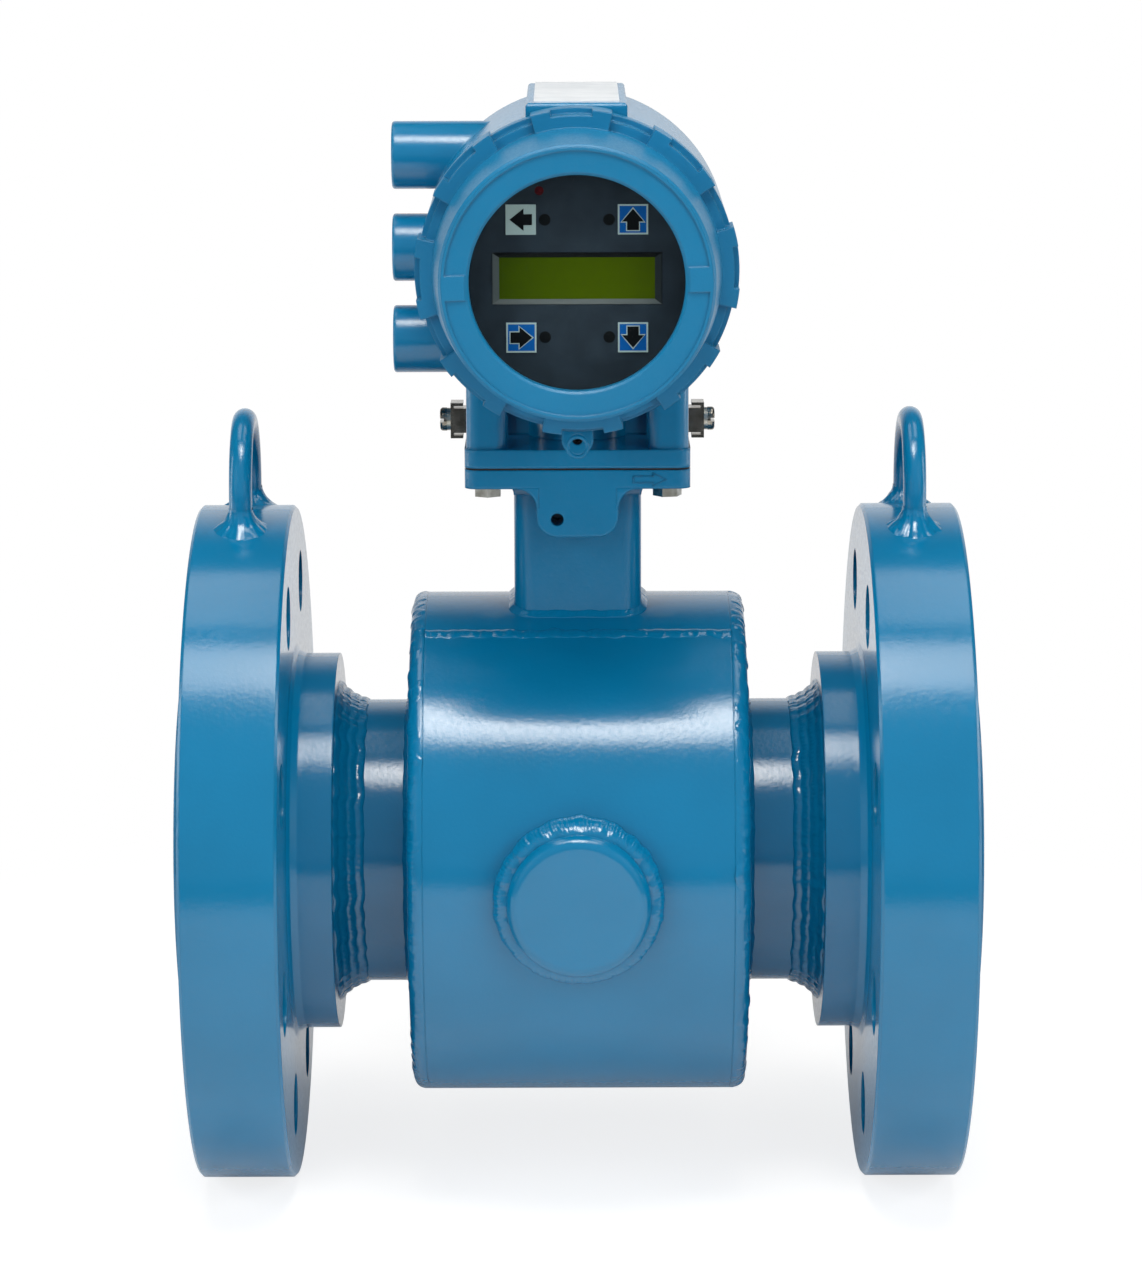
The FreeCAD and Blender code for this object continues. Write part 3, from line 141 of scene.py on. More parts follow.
def grained(tree, where, grain_mm, depth_mm, detail=2.0):
    """The normal of a surface whose grain has a real size and depth."""
    grain = add(tree, "ShaderNodeTexNoise", {
        "Vector": where, "Scale": 1 / (grain_mm * MM), "Detail": detail})
    bump = add(tree, "ShaderNodeBump", {"Height": grain.outputs["Fac"], "Distance": depth_mm * MM})
    return bump.outputs["Normal"]


def enamel(name, peel_mm, peel_depth_mm, roughness, edge_mm):
    """Alkyd enamel, sprayed and air dried: an even blue skin with orange peel, which rounds the
    edges it runs over and gives soft-edged reflections."""
    material, tree, where = start_material(name)
    paint = bpy.context.scene.meter_colours.paint
    wave_mm, wave_depth_mm, drift_mm = 14, 0.03, 45
    peel = add(tree, "ShaderNodeTexNoise", {
        "Vector": where, "Scale": 1 / (peel_mm * MM), "Detail": 1.5})
    waves = add(tree, "ShaderNodeTexNoise", {
        "Vector": where, "Scale": 1 / (wave_mm * MM), "Detail": 1.0})
    rounded = add(tree, "ShaderNodeBevel", {"Radius": edge_mm * MM}, samples=4)
    broad = add(tree, "ShaderNodeBump", {
        "Height": waves.outputs["Fac"], "Distance": wave_depth_mm * MM,
        "Normal": rounded.outputs["Normal"]})
    fine = add(tree, "ShaderNodeBump", {
        "Height": peel.outputs["Fac"], "Distance": peel_depth_mm * MM,
        "Normal": broad.outputs["Normal"]})
    drift = add(tree, "ShaderNodeTexNoise", {
        "Vector": where, "Scale": 1 / (drift_mm * MM), "Detail": 2.0})
    shade = add(tree, "ShaderNodeMapRange", {
        "Value": drift.outputs["Fac"], "From Min": 0.3, "From Max": 0.7, "To Min": 0.94, "To Max": 1.04})
    tinted = add(tree, "ShaderNodeHueSaturation", {
        "Color": (*paint, 1.0), "Value": shade.outputs["Result"]})
    gloss = add(tree, "ShaderNodeMapRange", {
        "Value": peel.outputs["Fac"], "From Min": 0.3, "From Max": 0.7,
        "To Min": roughness * 0.85, "To Max": roughness * 1.2})
    return surface(material, {
        "Base Color": tinted.outputs["Color"], "Roughness": gloss.outputs["Result"],
        "Normal": fine.outputs["Normal"], "IOR": 1.6})


def zinc_plate():
    """Zinc plated steel, passivated: bright grey with a faint warm bloom in patches."""
    material, tree, where = start_material("zinc_plated_steel")
    return surface(material, {
        "Base Color": mottled(tree, where, 3, "#C9C8C0", "#A8A69B"),
        "Normal": grained(tree, where, 0.6, 0.02, 3.0), "Metallic": 1.0, "Roughness": 0.34})


def nickel_plate():
    """Nickel plated brass, turned: warm mirror-like grey with a faint grain."""
    material, tree, where = start_material("nickel_plated_brass")
    return surface(material, {
        "Base Color": mottled(tree, where, 4, "#A8A49B", "#7F7A70"),
        "Normal": grained(tree, where, 0.8, 0.012), "Metallic": 1.0, "Roughness": 0.2})


def blackened_steel_and_hole_shade():
    """Alloy steel, blackened and oiled, near black: its own dark finish together with painted shade, so the
    screw reads as the shaded hole of its boss.
    """
    material, tree, where = start_material("blackened_alloy_steel_and_hole_shade")
    # Near black: the blackened finish plus painted shade of the deep hole that the screw sits in.
    return surface(material, {
        "Base Color": mottled(tree, where, 2, "#232325", "#111112"), "Metallic": 0.6, "Roughness": 0.5})


def bare_steel():
    """Carbon steel, turned and oiled: dull grey in faint patches."""
    material, tree, where = start_material("turned_carbon_steel")
    return surface(material, {
        "Base Color": mottled(tree, where, 8, "#8E8F90", "#747577"), "Metallic": 1.0, "Roughness": 0.42})


def moulded_ptfe():
    """PTFE, moulded and lathe turned: waxy white in faint patches, with a shallow grain."""
    material, tree, where = start_material("moulded_ptfe")
    return surface(material, {
        "Base Color": mottled(tree, where, 12, "#EFEFEA", "#E2E2DB"),
        "Normal": grained(tree, where, 1.5, 0.02), "IOR": 1.35, "Roughness": 0.45})


def nitrile_rubber():
    """Nitrile rubber, moulded: soft black with a dusty bloom."""
    material, tree, where = start_material("nitrile_rubber")
    return surface(material, {
        "Base Color": mottled(tree, where, 5, "#2A2A2B", "#171718"), "IOR": 1.52, "Roughness": 0.62})


def face_film():
    """Polyester film, screen printed on its back: dark blue-grey with a fine matte grain."""
    material, tree, where = start_material("printed_polyester_film")
    return surface(material, {
        "Base Color": mottled(tree, where, 9, "#364551", "#303D48"),
        "Normal": grained(tree, where, 0.4, 0.01, 1.0), "IOR": 1.5, "Specular IOR Level": 0.15,
        "Roughness": 0.5})


def flat_print_and_shade(name, colour):
    """Screen printing ink on the keys, and the painted light and shade of the screen frame's bevels: one even
    colour with a faint pile at its grain.
    """
    material, tree, where = start_material(name)
    return surface(material, {
        "Base Color": colour, "Normal": grained(tree, where, 0.3, 0.01, 1.0),
        "Specular IOR Level": 0.15, "Roughness": 0.45})


def unlit_lcd():
    """Twisted nematic glass, unlit: olive green, a little darker towards its left end."""
    material, tree, where = start_material("unlit_liquid_crystal_glass", "Generated")
    split = add(tree, "ShaderNodeSeparateXYZ", {"Vector": where})
    ramp = add(tree, "ShaderNodeValToRGB", {"Fac": split.outputs["X"]})
    for element, code in zip(ramp.color_ramp.elements, ("#4A6400", "#567000")):
        element.color = linear(code)
    return surface(material, {
        "Base Color": ramp.outputs["Color"], "Roughness": 0.25, "IOR": 1.5, "Specular IOR Level": 0.15})


def toughened_glass():
    """Soda lime glass, toughened, polished and coated against reflections: almost nothing shows of
    it but a faint sheen over the dark face."""
    return surface(start_material("toughened_glass")[0], {
        "Base Color": linear("#0B100E"), "Alpha": 0.12, "Roughness": 0.02, "IOR": 1.52})


def red_lens():
    """Epoxy lens of a lamp that is off: deep red and glossy."""
    material, tree, where = start_material("red_epoxy_lens")
    return surface(material, {
        "Base Color": mottled(tree, where, 1.5, "#7A0F1C", "#4A0A12"), "Roughness": 0.15})


def label_stock():
    """Brushed and lacquered aluminium label: pale grey with fine lines along its length."""
    material, tree, where = start_material("lacquered_aluminium_label")
    drawn = add(tree, "ShaderNodeMapping", {"Vector": where, "Scale": (1.0, 0.03, 1.0)})
    return surface(material, {
        "Base Color": mottled(tree, where, 10, "#DADFE4", "#CDD3D9"),
        "Normal": grained(tree, drawn.outputs["Vector"], 0.5, 0.01), "Roughness": 0.4})


def board_laminate():
    """Glass epoxy board under solder resist: deep green with a woven grain."""
    material, tree, where = start_material("solder_resist_board")
    weave = add(tree, "ShaderNodeTexBrick", {
        "Vector": where, "Color1": linear("#1C5B33"), "Color2": linear("#184F2C"),
        "Mortar": linear("#2A6B40"), "Scale": 1 / (4 * MM)})
    return surface(material, {"Base Color": weave.outputs["Color"], "Roughness": 0.35})


def terminal_moulding():
    """Polyamide, injection moulded: black with a fine spark-eroded grain."""
    material, tree, where = start_material("moulded_polyamide")
    return surface(material, {
        "Base Color": mottled(tree, where, 10, "#26282A", "#1D1F21"),
        "Normal": grained(tree, where, 0.5, 0.03), "IOR": 1.53, "Roughness": 0.5})


def copper_winding():
    """Enamelled copper wire, wound: reddish bands side by side round the coil, dark bands of painted shade in
    the grooves between turns and light bands of painted sheen on their crowns. The wire is 0.8 mm, and its
    turns are drawn about 5 mm apart, as coarse as they need to show."""
    material, tree, where = start_material("wound_copper_wire")
    turns = add(tree, "ShaderNodeTexWave", {
        "Vector": where, "Scale": 1 / (20 * 0.8 * MM)}, bands_direction="Z")
    # Painted light and shade: the dark end of the ramp is shade between the turns, the light end sheen on
    # their crowns.
    ramp = add(tree, "ShaderNodeValToRGB", {"Fac": turns.outputs["Fac"]})
    for element, code in zip(ramp.color_ramp.elements, ("#6E3418", "#B8683A")):
        element.color = linear(code)
    return surface(material, {"Base Color": ramp.outputs["Color"], "Metallic": 0.8, "Roughness": 0.35})


def polished_stainless():
    """Stainless steel, lapped: the bright head of an electrode."""
    material, tree, where = start_material("lapped_stainless_steel")
    return surface(material, {
        "Base Color": mottled(tree, where, 2, "#D3D2CF", "#C3C1BD"), "Metallic": 1.0, "Roughness": 0.18})


def finish_with(material, *nodes):
    """Give CAD nodes their material."""
    for name in nodes:
        data = NODES[name].data
        data.materials.clear()
        data.materials.append(material)


# ---------------------------------------------------------------- meshes

def make_piece(name, points, faces, material, body, smooth=True):
    """A mesh piece that rides on a body."""
    data = bpy.data.meshes.new(name)
    data.from_pydata([tuple(p) for p in points], [], faces)
    data.validate()
    data.update()
    data.polygons.foreach_set("use_smooth", [smooth] * len(data.polygons))
    data.materials.append(material)
    piece = bpy.data.objects.new(name, data)
    bpy.context.scene.collection.objects.link(piece)
    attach(piece, body)
    return piece


def circle(count):
    """The cosine and the sine at even steps round a circle."""
    angles = [2 * math.pi * k / count for k in range(count)]
    return [(math.cos(angle), math.sin(angle)) for angle in angles]


def oblong(left, lower, right, upper):
    """The four corners of a rectangle, as (x, z) points."""
    return [(left, lower), (right, lower), (right, upper), (left, upper)]


def prism(outline, front, back):
    """Points and faces of a flat plate between two depths along Y, from an outline of (x, z) points."""
    count = len(outline)
    points = [(x, front, z) for x, z in outline] + [(x, back, z) for x, z in outline]
    faces = [tuple(range(count)), tuple(range(2 * count - 1, count - 1, -1))]
    for i in range(count):
        j = (i + 1) % count
        faces.append((i, i + count, j + count, j))
    return points, faces


def join(parts):
    """Several (points, faces) lists as one."""
    points, faces = [], []
    for more_points, more_faces in parts:
        offset = len(points)
        points.extend(more_points)
        faces.extend(tuple(i + offset for i in face) for face in more_faces)
    return points, faces


def rows_of_faces(rows, columns):
    """Faces between rows of points that each close on themselves."""
    faces = []
    for i in range(rows):
        for j in range(columns):
            k = (j + 1) % columns
            faces.append((i * columns + j, i * columns + k, (i + 1) * columns + k, (i + 1) * columns + j))
    return faces


def turned(faces):
    """The same faces seen from the other side."""
    return [tuple(reversed(face)) for face in faces]


def lay_weld(toe, crown, outward, length, passes, hollow, bulge, ripple, pitch, wander, seed, closed,
             across=14):
    """Points and faces of a weld seen as it was laid: passes side by side with stacked ripples.

    toe and crown give the weld's two edges and outward its face's direction, each for a place from 0 to
    1 along it. Sizes are in millimetres; hollow sinks the face, bulge raises each pass, ripple and pitch
    are the height and the spacing of its ripples, wander moves the edges, and across counts the faces
    over the weld. The first and last rows dip below the surface that they join.
    """
    dip, coarsest, wander_mm = 0.35, 0.6, 6
    stations = max(8, int(length / min(pitch / 4, coarsest)))
    rows = stations if closed else stations + 1
    points = []
    for i in range(rows):
        u = i / stations
        along = length * u
        if closed:
            turn = Vector((math.cos(2 * math.pi * u), math.sin(2 * math.pi * u), seed))
            spot = turn * (length / 2 / math.pi / wander_mm)
        else:
            spot = Vector((along / wander_mm, 0, seed))
        low, high, out = toe(u), crown(u), outward(u)
        chord = high - low
        stray = wander / max(chord.length / MM, 1)
        low = low - chord * (noise.noise(spot) * stray)
        high = high + chord * (noise.noise(spot + Vector((9, 9, 9))) * stray)
        lump = noise.noise(spot * 2.3 + Vector((3, 0, 0))) * wander * 0.2
        for j in range(across + 1):
            v = j / across
            inside = v * passes % 1.0 if j < across else 1.0
            dome = 1 - (2 * inside - 1) ** 2
            lane = min(int(v * passes), passes - 1)
            # Each ripple bends back towards the edges of its pass, and no two passes are in step.
            phase = along / pitch + 0.9 * (2 * inside - 1) ** 2 + lane * 0.37 + noise.noise(spot * 3) * 0.8
            scallop = abs(math.sin(math.pi * phase)) - 0.6
            edge = min(1.0, min(v, 1 - v) * 6)
            height = bulge * dome - hollow * math.sin(math.pi * v)
            height += edge * (ripple * scallop * dome + lump)
            if j in (0, across):
                height -= dip
            points.append(low + (high - low) * v + out * (height * MM))
    step = across + 1
    faces = []
    for i in range(stations):
        k = (i + 1) % rows
        for j in range(across):
            faces.append((i * step + j, k * step + j, k * step + j + 1, i * step + j + 1))
    normal = (points[step] - points[0]).cross(points[across] - points[0])
    return points, faces if normal.dot(outward(0)) > 0 else turned(faces)


# ---------------------------------------------------------------- settings

class MeterColours(bpy.types.PropertyGroup):
    """Colours that a user may change."""
    paint: FloatVectorProperty(
        name="Paint", description="Blue enamel on the steelwork and the castings",
        subtype="COLOR", size=3, min=0, max=1, default=linear("#03719E")[:3])
    keys: FloatVectorProperty(
        name="Keys", description="Blue ink of the keys on the display",
        subtype="COLOR", size=3, min=0, max=1, default=linear("#086CC8")[:3])


class MeterSizes(bpy.types.PropertyGroup):
    """Sizes that a user may change."""
    peel: FloatProperty(
        name="Orange peel", description="Distance between the bumps of the sprayed paint",
        subtype="DISTANCE", precision=5, default=1.6 * MM, min=0.3 * MM, max=6 * MM)
    ripple: FloatProperty(
        name="Weld ripple", description="Height of the ripples along the welds",
        subtype="DISTANCE", precision=5, default=0.24 * MM, min=0, max=1 * MM)
    lug_bar: FloatProperty(
        name="Lug bar", description="Thickness of the round bar of the lifting lugs",
        subtype="DISTANCE", precision=4, default=9.2 * MM, min=6 * MM, max=12 * MM)
    lug_bend: FloatProperty(
        name="Lug bend", description="Radius of the lifting lugs' bend, to the middle of the bar",
        subtype="DISTANCE", precision=4, default=28.0 * MM, min=20 * MM, max=36 * MM)
    lug_rise: FloatProperty(
        name="Lug rise", description="Height of the lifting lugs above the crown of the rim",
        subtype="DISTANCE", precision=4, default=40.8 * MM, min=34 * MM, max=60 * MM)


# ---------------------------------------------------------------- pieces

def lug_x(flange):
    """The middle of a flange's rim, where its lifting lug stands."""
    return math.copysign(RIM_CENTRE_X, middle(flange).x)


class METER_OT_paint_steelwork(bpy.types.Operator):
    """Paint the flanges, the tube, the drum and its caps"""
    bl_idname = "meter.paint_steelwork"
    bl_label = "Paint the steelwork"

    def execute(self, context):
        peel_mm = context.scene.meter_sizes.peel / MM
        finish_with(
            enamel("sprayed_enamel_on_steel", peel_mm, 0.035, 0.17, 0.9), "inlet_flange", "outlet_flange",
            "coil_housing_shell", "inlet_end_plate", "outlet_end_plate", "front_electrode_cap",
            "rear_electrode_cap", "inlet_lifting_lug", "outlet_lifting_lug", "flow_tube")
        return {"FINISHED"}


class METER_OT_lay_welds(bpy.types.Operator):
    """Lay and paint the rippled beads of every weld in place of the plain CAD beads"""
    bl_idname = "meter.lay_welds"
    bl_label = "Lay the welds"

    def execute(self, context):
        self.sizes = context.scene.meter_sizes
        self.paint = enamel("sprayed_enamel_on_weld", self.sizes.peel / MM, 0.03, 0.15, 0.25)
        self.ripple = self.sizes.ripple / MM
        self.tube_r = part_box("flow_tube")[1].z
        self.drum_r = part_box("coil_housing_shell")[1].z
        self.hub_welds()
        self.drum_edges()
        self.cap_rings()
        self.drum_seam()
        self.pedestal_foot()
        self.lug_feet()
        return {"FINISHED"}

    def finish(self, name, parts, *nodes):
        """Make one painted piece of its parts and let it stand for the CAD beads."""
        points, faces = join(parts)
        piece = make_piece(name, points, faces, self.paint, "meter")
        if nodes:
            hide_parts(*nodes)

    def around_tube(self, toe_x, toe_r, crown_x, crown_r, **bead):
        """A weld round the flow tube's axis between two circles."""
        run = Vector((crown_x - toe_x, 0, crown_r - toe_r)).normalized()
        lean = Vector((run.z, 0, -run.x)) * math.copysign(1, -run.x)

        def round_axis(x, radius):
            return lambda u: Vector((
                x, -radius * math.sin(2 * math.pi * u), radius * math.cos(2 * math.pi * u)))

        length = 2 * math.pi * (toe_r + crown_r) / 2 / MM
        return lay_weld(
            round_axis(toe_x, toe_r), round_axis(crown_x, crown_r), round_axis(lean.x, lean.z), length,
            closed=True, **bead)

    def hub_welds(self):
        """Hollow multi-pass fillets between the flanges' hubs and the tube."""
        leg_x, leg_r, tuck = 12.3 * MM, 8.2 * MM, 0.3 * MM
        for side, name in ENDS:
            hub_x = end_x(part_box(name + "_hub_weld"), side)
            weld = self.around_tube(
                hub_x - side * leg_x, self.tube_r, hub_x + side * tuck, self.tube_r + leg_r, passes=4,
                hollow=1.5, bulge=0.4, ripple=self.ripple, pitch=2.0, wander=1.3, seed=5 + side, across=24)
            self.finish(name + "_hub_weld_bead", [weld], name + "_hub_weld")

    def drum_edges(self):
        """Rough strips where the drum's shell meets its end plates, and small fillets on the tube."""
        strip, leg_x, leg_r = 5.0 * MM, 3.4 * MM, 3.6 * MM
        parts, fillets = [], []
        for side, name in ENDS:
            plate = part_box(name + "_end_plate")
            end, plate_r = end_x(plate, side), plate[1].z
            parts.append(self.around_tube(
                end, plate_r - strip, end - side * strip, plate_r, passes=1, hollow=-1.42, bulge=0.2,
                ripple=self.ripple * 0.7, pitch=1.9, wander=1.5, seed=11 + side, across=16))
            fillets.append(self.around_tube(
                end + side * leg_x, self.tube_r, end, self.tube_r + leg_r, passes=1, hollow=0.3, bulge=0.4,
                ripple=self.ripple * 0.7, pitch=1.9, wander=0.9, seed=17 + side, across=10))
        self.finish("drum_edge_beads", parts)
        self.finish("tube_fillet_beads", fillets, "end_plate_welds")

    def cap_rings(self):
        """The rings of weld that saddle the electrode caps on the drum."""
        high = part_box("electrode_cap_welds")[1]
        cap_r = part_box("front_electrode_cap")[1].x
        outer, crown_y = high.x + 0.4 * MM, high.y + 0.2 * MM
        lean_out, lean_up = 0.75, 0.66
        parts = []
        for side in (-1, 1):
            def crown(u, side=side):
                angle = 2 * math.pi * u
                return Vector((cap_r * math.cos(angle), side * crown_y, cap_r * math.sin(angle)))

            def toe(u, side=side):
                angle = 2 * math.pi * u
                z = outer * math.sin(angle)
                return Vector((outer * math.cos(angle), side * math.sqrt(self.drum_r ** 2 - z ** 2), z))

            def outward(u, side=side):
                angle = 2 * math.pi * u
                return Vector((math.cos(angle) * lean_out, side * lean_up, math.sin(angle) * lean_out))

            parts.append(lay_weld(
                toe, crown, outward, 2 * math.pi * outer / MM, passes=1, hollow=-1.9, bulge=0.8,
                ripple=self.ripple * 1.1, pitch=1.6, wander=1.9, seed=23 + side, closed=True, across=18))
        self.finish("cap_weld_beads", parts, "electrode_cap_welds")

    def drum_seam(self):
        """The long bead where the rolled drum closes."""
        low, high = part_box("seam_weld")
        run = high.x - low.x
        # Degrees from the top of the drum towards its front.
        first, centre, last = (math.radians(degrees) for degrees in (21.1, 22.9, 24.7))

        def edge(angle):
            return lambda u: Vector((
                low.x + run * u, -self.drum_r * math.sin(angle), self.drum_r * math.cos(angle)))

        bead = lay_weld(
            edge(first), edge(last), lambda u: Vector((0, -math.sin(centre), math.cos(centre))),
            run / MM, passes=1, hollow=-0.25, bulge=0.45, ripple=self.ripple * 0.5, pitch=1.8,
            wander=1.8, seed=31, closed=False)
        self.finish("drum_seam_bead", [bead], "seam_weld")

    def pedestal_foot(self):
        """The small fillet round the foot of the column, lying on the drum."""
        cad_leg, corner, reach, rise = 4.0 * MM, 8.0 * MM, 2.6 * MM, 2.2 * MM
        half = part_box("pedestal_weld")[1].x - cad_leg
        lean_out, lean_up = 0.6, 0.8

        def around(u, out):
            """A place round the column, out from its walls, and the way that its wall faces there."""
            flat, bend = half - corner, corner + out
            sides = [2 * flat, math.pi / 2 * bend] * 4
            travel = u % 1.0 * sum(sides)
            for k, side in enumerate(sides):
                if travel <= side:
                    break
                travel -= side
            if k % 2 == 0:
                place, facing = (-flat + travel, half + out), (0.0, 1.0)
            else:
                facing = (math.sin(travel / bend), math.cos(travel / bend))
                place = (flat + bend * facing[0], flat + bend * facing[1])
            turn = -math.pi / 2 * (k // 2)
            c, s = math.cos(turn), math.sin(turn)
            return [(x * c - y * s, x * s + y * c) for x, y in (place, facing)]

        def on_drum(place, lift):
            x, y = place
            return Vector((x, y, math.sqrt(max(self.drum_r ** 2 - y ** 2, 0)) + lift))

        def outward(u):
            x, y = around(u, 0)[1]
            return Vector((x * lean_out, y * lean_out, lean_up))

        bead = lay_weld(
            lambda u: on_drum(around(u, reach)[0], 0), lambda u: on_drum(around(u, 0)[0], rise), outward,
            8 * half / MM, passes=1, hollow=0.2, bulge=0.25, ripple=self.ripple * 0.5, pitch=1.8,
            wander=0.8, seed=37, closed=True)
        self.finish("pedestal_foot_bead", [bead], "pedestal_weld")

    def lug_feet(self):
        """Trumpet-shaped welds at the feet of the lifting lugs, laid in runs down from the bar."""
        rim_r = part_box("inlet_flange")[1].z
        bar_r, bend = self.sizes.lug_bar / 2, self.sizes.lug_bend
        rows, columns, folds = 18, 96, 2.2
        # Millimetres: the weld's skin on the bar, its skirt's reach, its height, and its depth in the rim.
        skin, skirt, foot, sunk = 0.25, 6.9, 8.6, 0.6
        parts = []
        for flange in ("inlet_flange", "outlet_flange"):
            x0 = lug_x(flange)
            for y0 in (-bend, bend):
                points = []
                for i in range(rows + 1):
                    v = i / rows
                    flare = (1 - v) ** 2.1
                    for c, s in circle(columns):
                        spot = Vector((c * folds, s * folds, 41 + y0 * 30 + x0 * 20))
                        fold = noise.noise(spot) * 1.3 + noise.noise(spot * 3.1) * 0.5
                        bulk = skin + skirt * flare + fold * (skin + flare) * min(1, 4 * (1 - v))
                        radius = bar_r + bulk * MM
                        lump = noise.noise(spot * 1.7 + Vector((0, 0, 4 * v))) * 0.5
                        height = (-sunk + foot * v + lump) * MM
                        ground = math.sqrt(rim_r ** 2 - (y0 + radius * s) ** 2)
                        crest = ground + (math.sqrt(rim_r ** 2 - y0 ** 2) - ground) * v
                        points.append(Vector((x0 + radius * c, y0 + radius * s, crest + height)))
                parts.append((points, rows_of_faces(rows, columns)))
        self.finish("lug_foot_beads", parts, "lifting_lug_welds")


class METER_OT_bend_lugs(bpy.types.Operator):
    """Bend the lifting lugs from round bar and stand them upright on the flanges' rims"""
    bl_idname = "meter.bend_lugs"
    bl_label = "Bend the lifting lugs"

    def execute(self, context):
        sizes = context.scene.meter_sizes
        bar_r, bend = sizes.lug_bar / 2, sizes.lug_bend
        rim_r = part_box("inlet_flange")[1].z
        centre_z = rim_r + sizes.lug_rise - bar_r - bend
        root_z = math.sqrt(rim_r ** 2 - bend ** 2) - 3 * MM
        steps, sides = 40, 28
        arc = [math.pi * k / steps for k in range(steps + 1)]
        path = [(-bend, root_z, math.pi)]
        path += [(-bend * math.cos(a), centre_z + bend * math.sin(a), math.pi - a) for a in arc]
        path += [(bend, root_z, 0)]
        paint = bpy.data.materials["sprayed_enamel_on_steel"]
        for name in ("inlet", "outlet"):
            x0 = lug_x(name + "_flange")
            points = [
                Vector((x0 + bar_r * s, y + bar_r * c * math.cos(lean), z + bar_r * c * math.sin(lean)))
                for y, z, lean in path for c, s in circle(sides)]
            faces = rows_of_faces(len(path) - 1, sides)
            piece = make_piece(name + "_bent_lug", points, faces, paint, "meter")
            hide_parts(name + "_lifting_lug")
        return {"FINISHED"}


class METER_OT_turn_faces(bpy.types.Operator):
    """Turn the outer rings of the raised faces, which end flush with the liner's flares"""
    bl_idname = "meter.turn_faces"
    bl_label = "Turn the raised faces"

    def execute(self, context):
        inner, outer, bevel = 75.05 * MM, 78.6 * MM, 0.4 * MM
        rooted, short, sides = 0.2 * MM, 0.35 * MM, 144
        paint = bpy.data.materials["sprayed_enamel_on_steel"]
        for side, name in ENDS:
            root = end_x(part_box(name + "_flange"), side) - side * rooted
            end = end_x(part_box("tube_liner"), side) - side * short
            profile = [
                (root, outer), (end - side * bevel, outer), (end, outer - bevel), (end, inner), (root, inner)]
            points = [Vector((x, radius * s, radius * c)) for x, radius in profile for c, s in circle(sides)]
            faces = rows_of_faces(len(profile) - 1, sides)
            piece = make_piece(
                name + "_raised_face_ring", points, faces if side < 0 else turned(faces), paint, "meter")
            piece.data.set_sharp_from_angle(angle=math.radians(30))
        return {"FINISHED"}


class METER_OT_paint_castings(bpy.types.Operator):
    """Paint the pedestal, the transmitter housing and its covers"""
    bl_idname = "meter.paint_castings"
    bl_label = "Paint the castings"

    def execute(self, context):
        peel_mm = context.scene.meter_sizes.peel / MM
        paint = enamel("sprayed_enamel_on_casting", peel_mm * 0.8, 0.03, 0.22, 1.4)
        finish_with(paint, "pedestal", "transmitter_housing")
        dull = enamel("sprayed_enamel_on_cover", peel_mm * 0.6, 0.05, 0.42, 0.8)
        finish_with(dull, "display_cover", "terminal_cover")
        return {"FINISHED"}


class METER_OT_shape_bosses(bpy.types.Operator):
    """Round the shoulders of the pedestal's boss, web the housing's posts and ring the lock screw"""
    bl_idname = "meter.shape_bosses"
    bl_label = "Shape the bosses"

    def execute(self, context):
        self.paint = bpy.data.materials["sprayed_enamel_on_casting"]
        self.shoulders()
        self.cross_wall()
        self.lock_ring()
        return {"FINISHED"}

    def cast(self, name, points, faces):
        """A flat-faced painted piece of the castings."""
        make_piece(name, points, faces, self.paint, "meter", smooth=False)

    def shoulders(self):
        """Hollow corners between the pedestal's plate and the boss under it."""
        plate_z, front = 151.8 * MM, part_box("pedestal")[0].y
        half, radius, steps = 16.0 * MM, 8.0 * MM, 12
        inner, top = half - 1 * MM, plate_z + 0.5 * MM
        proud, deep = 0.03 * MM, 18 * MM
        corner = [math.pi / 2 * k / steps for k in range(steps + 1)]
        parts = []
        for side in (-1, 1):
            outline = [(side * inner, top), (side * (half + radius), top)]
            outline += [(side * (half + radius * (1 - math.sin(a))), plate_z - radius * (1 - math.cos(a)))
                        for a in corner]
            outline += [(side * inner, plate_z - radius)]
            parts.append(prism(outline if side < 0 else outline[::-1], front - proud, front + deep))
        self.cast("boss_shoulders", *join(parts))

    def cross_wall(self):
        """The web that joins the housing's posts across its middle, under the barrel."""
        half, thick, count = 42.5 * MM, 3.0 * MM, 24
        outline = [(-half, BASE_TOP_Z), (half, BASE_TOP_Z)]
        for k in range(count + 1):
            x = half - 2 * half * k / count
            outline.append((x, BARREL_AXIS_Z - math.sqrt(BARREL_R ** 2 - x ** 2)))
        self.cast("housing_cross_wall", *prism(outline[::-1], -thick, thick))

    def lock_ring(self):
        """The low ring before the lock screw, level with the front of the housing's neck."""
        spot, front = middle("cover_lock_screw"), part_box("transmitter_housing")[0].y
        sides, profile = 64, [(4.6, 0.0), (4.6, -0.5), (4.3, -0.8), (3.4, -0.8), (3.1, -0.5), (3.1, 0.0)]
        points = [Vector((spot.x + r * c * MM, front + y * MM, spot.z + r * s * MM))
                  for r, y in profile for c, s in circle(sides)]
        self.cast("lock_boss_ring", points, rows_of_faces(len(profile) - 1, sides))


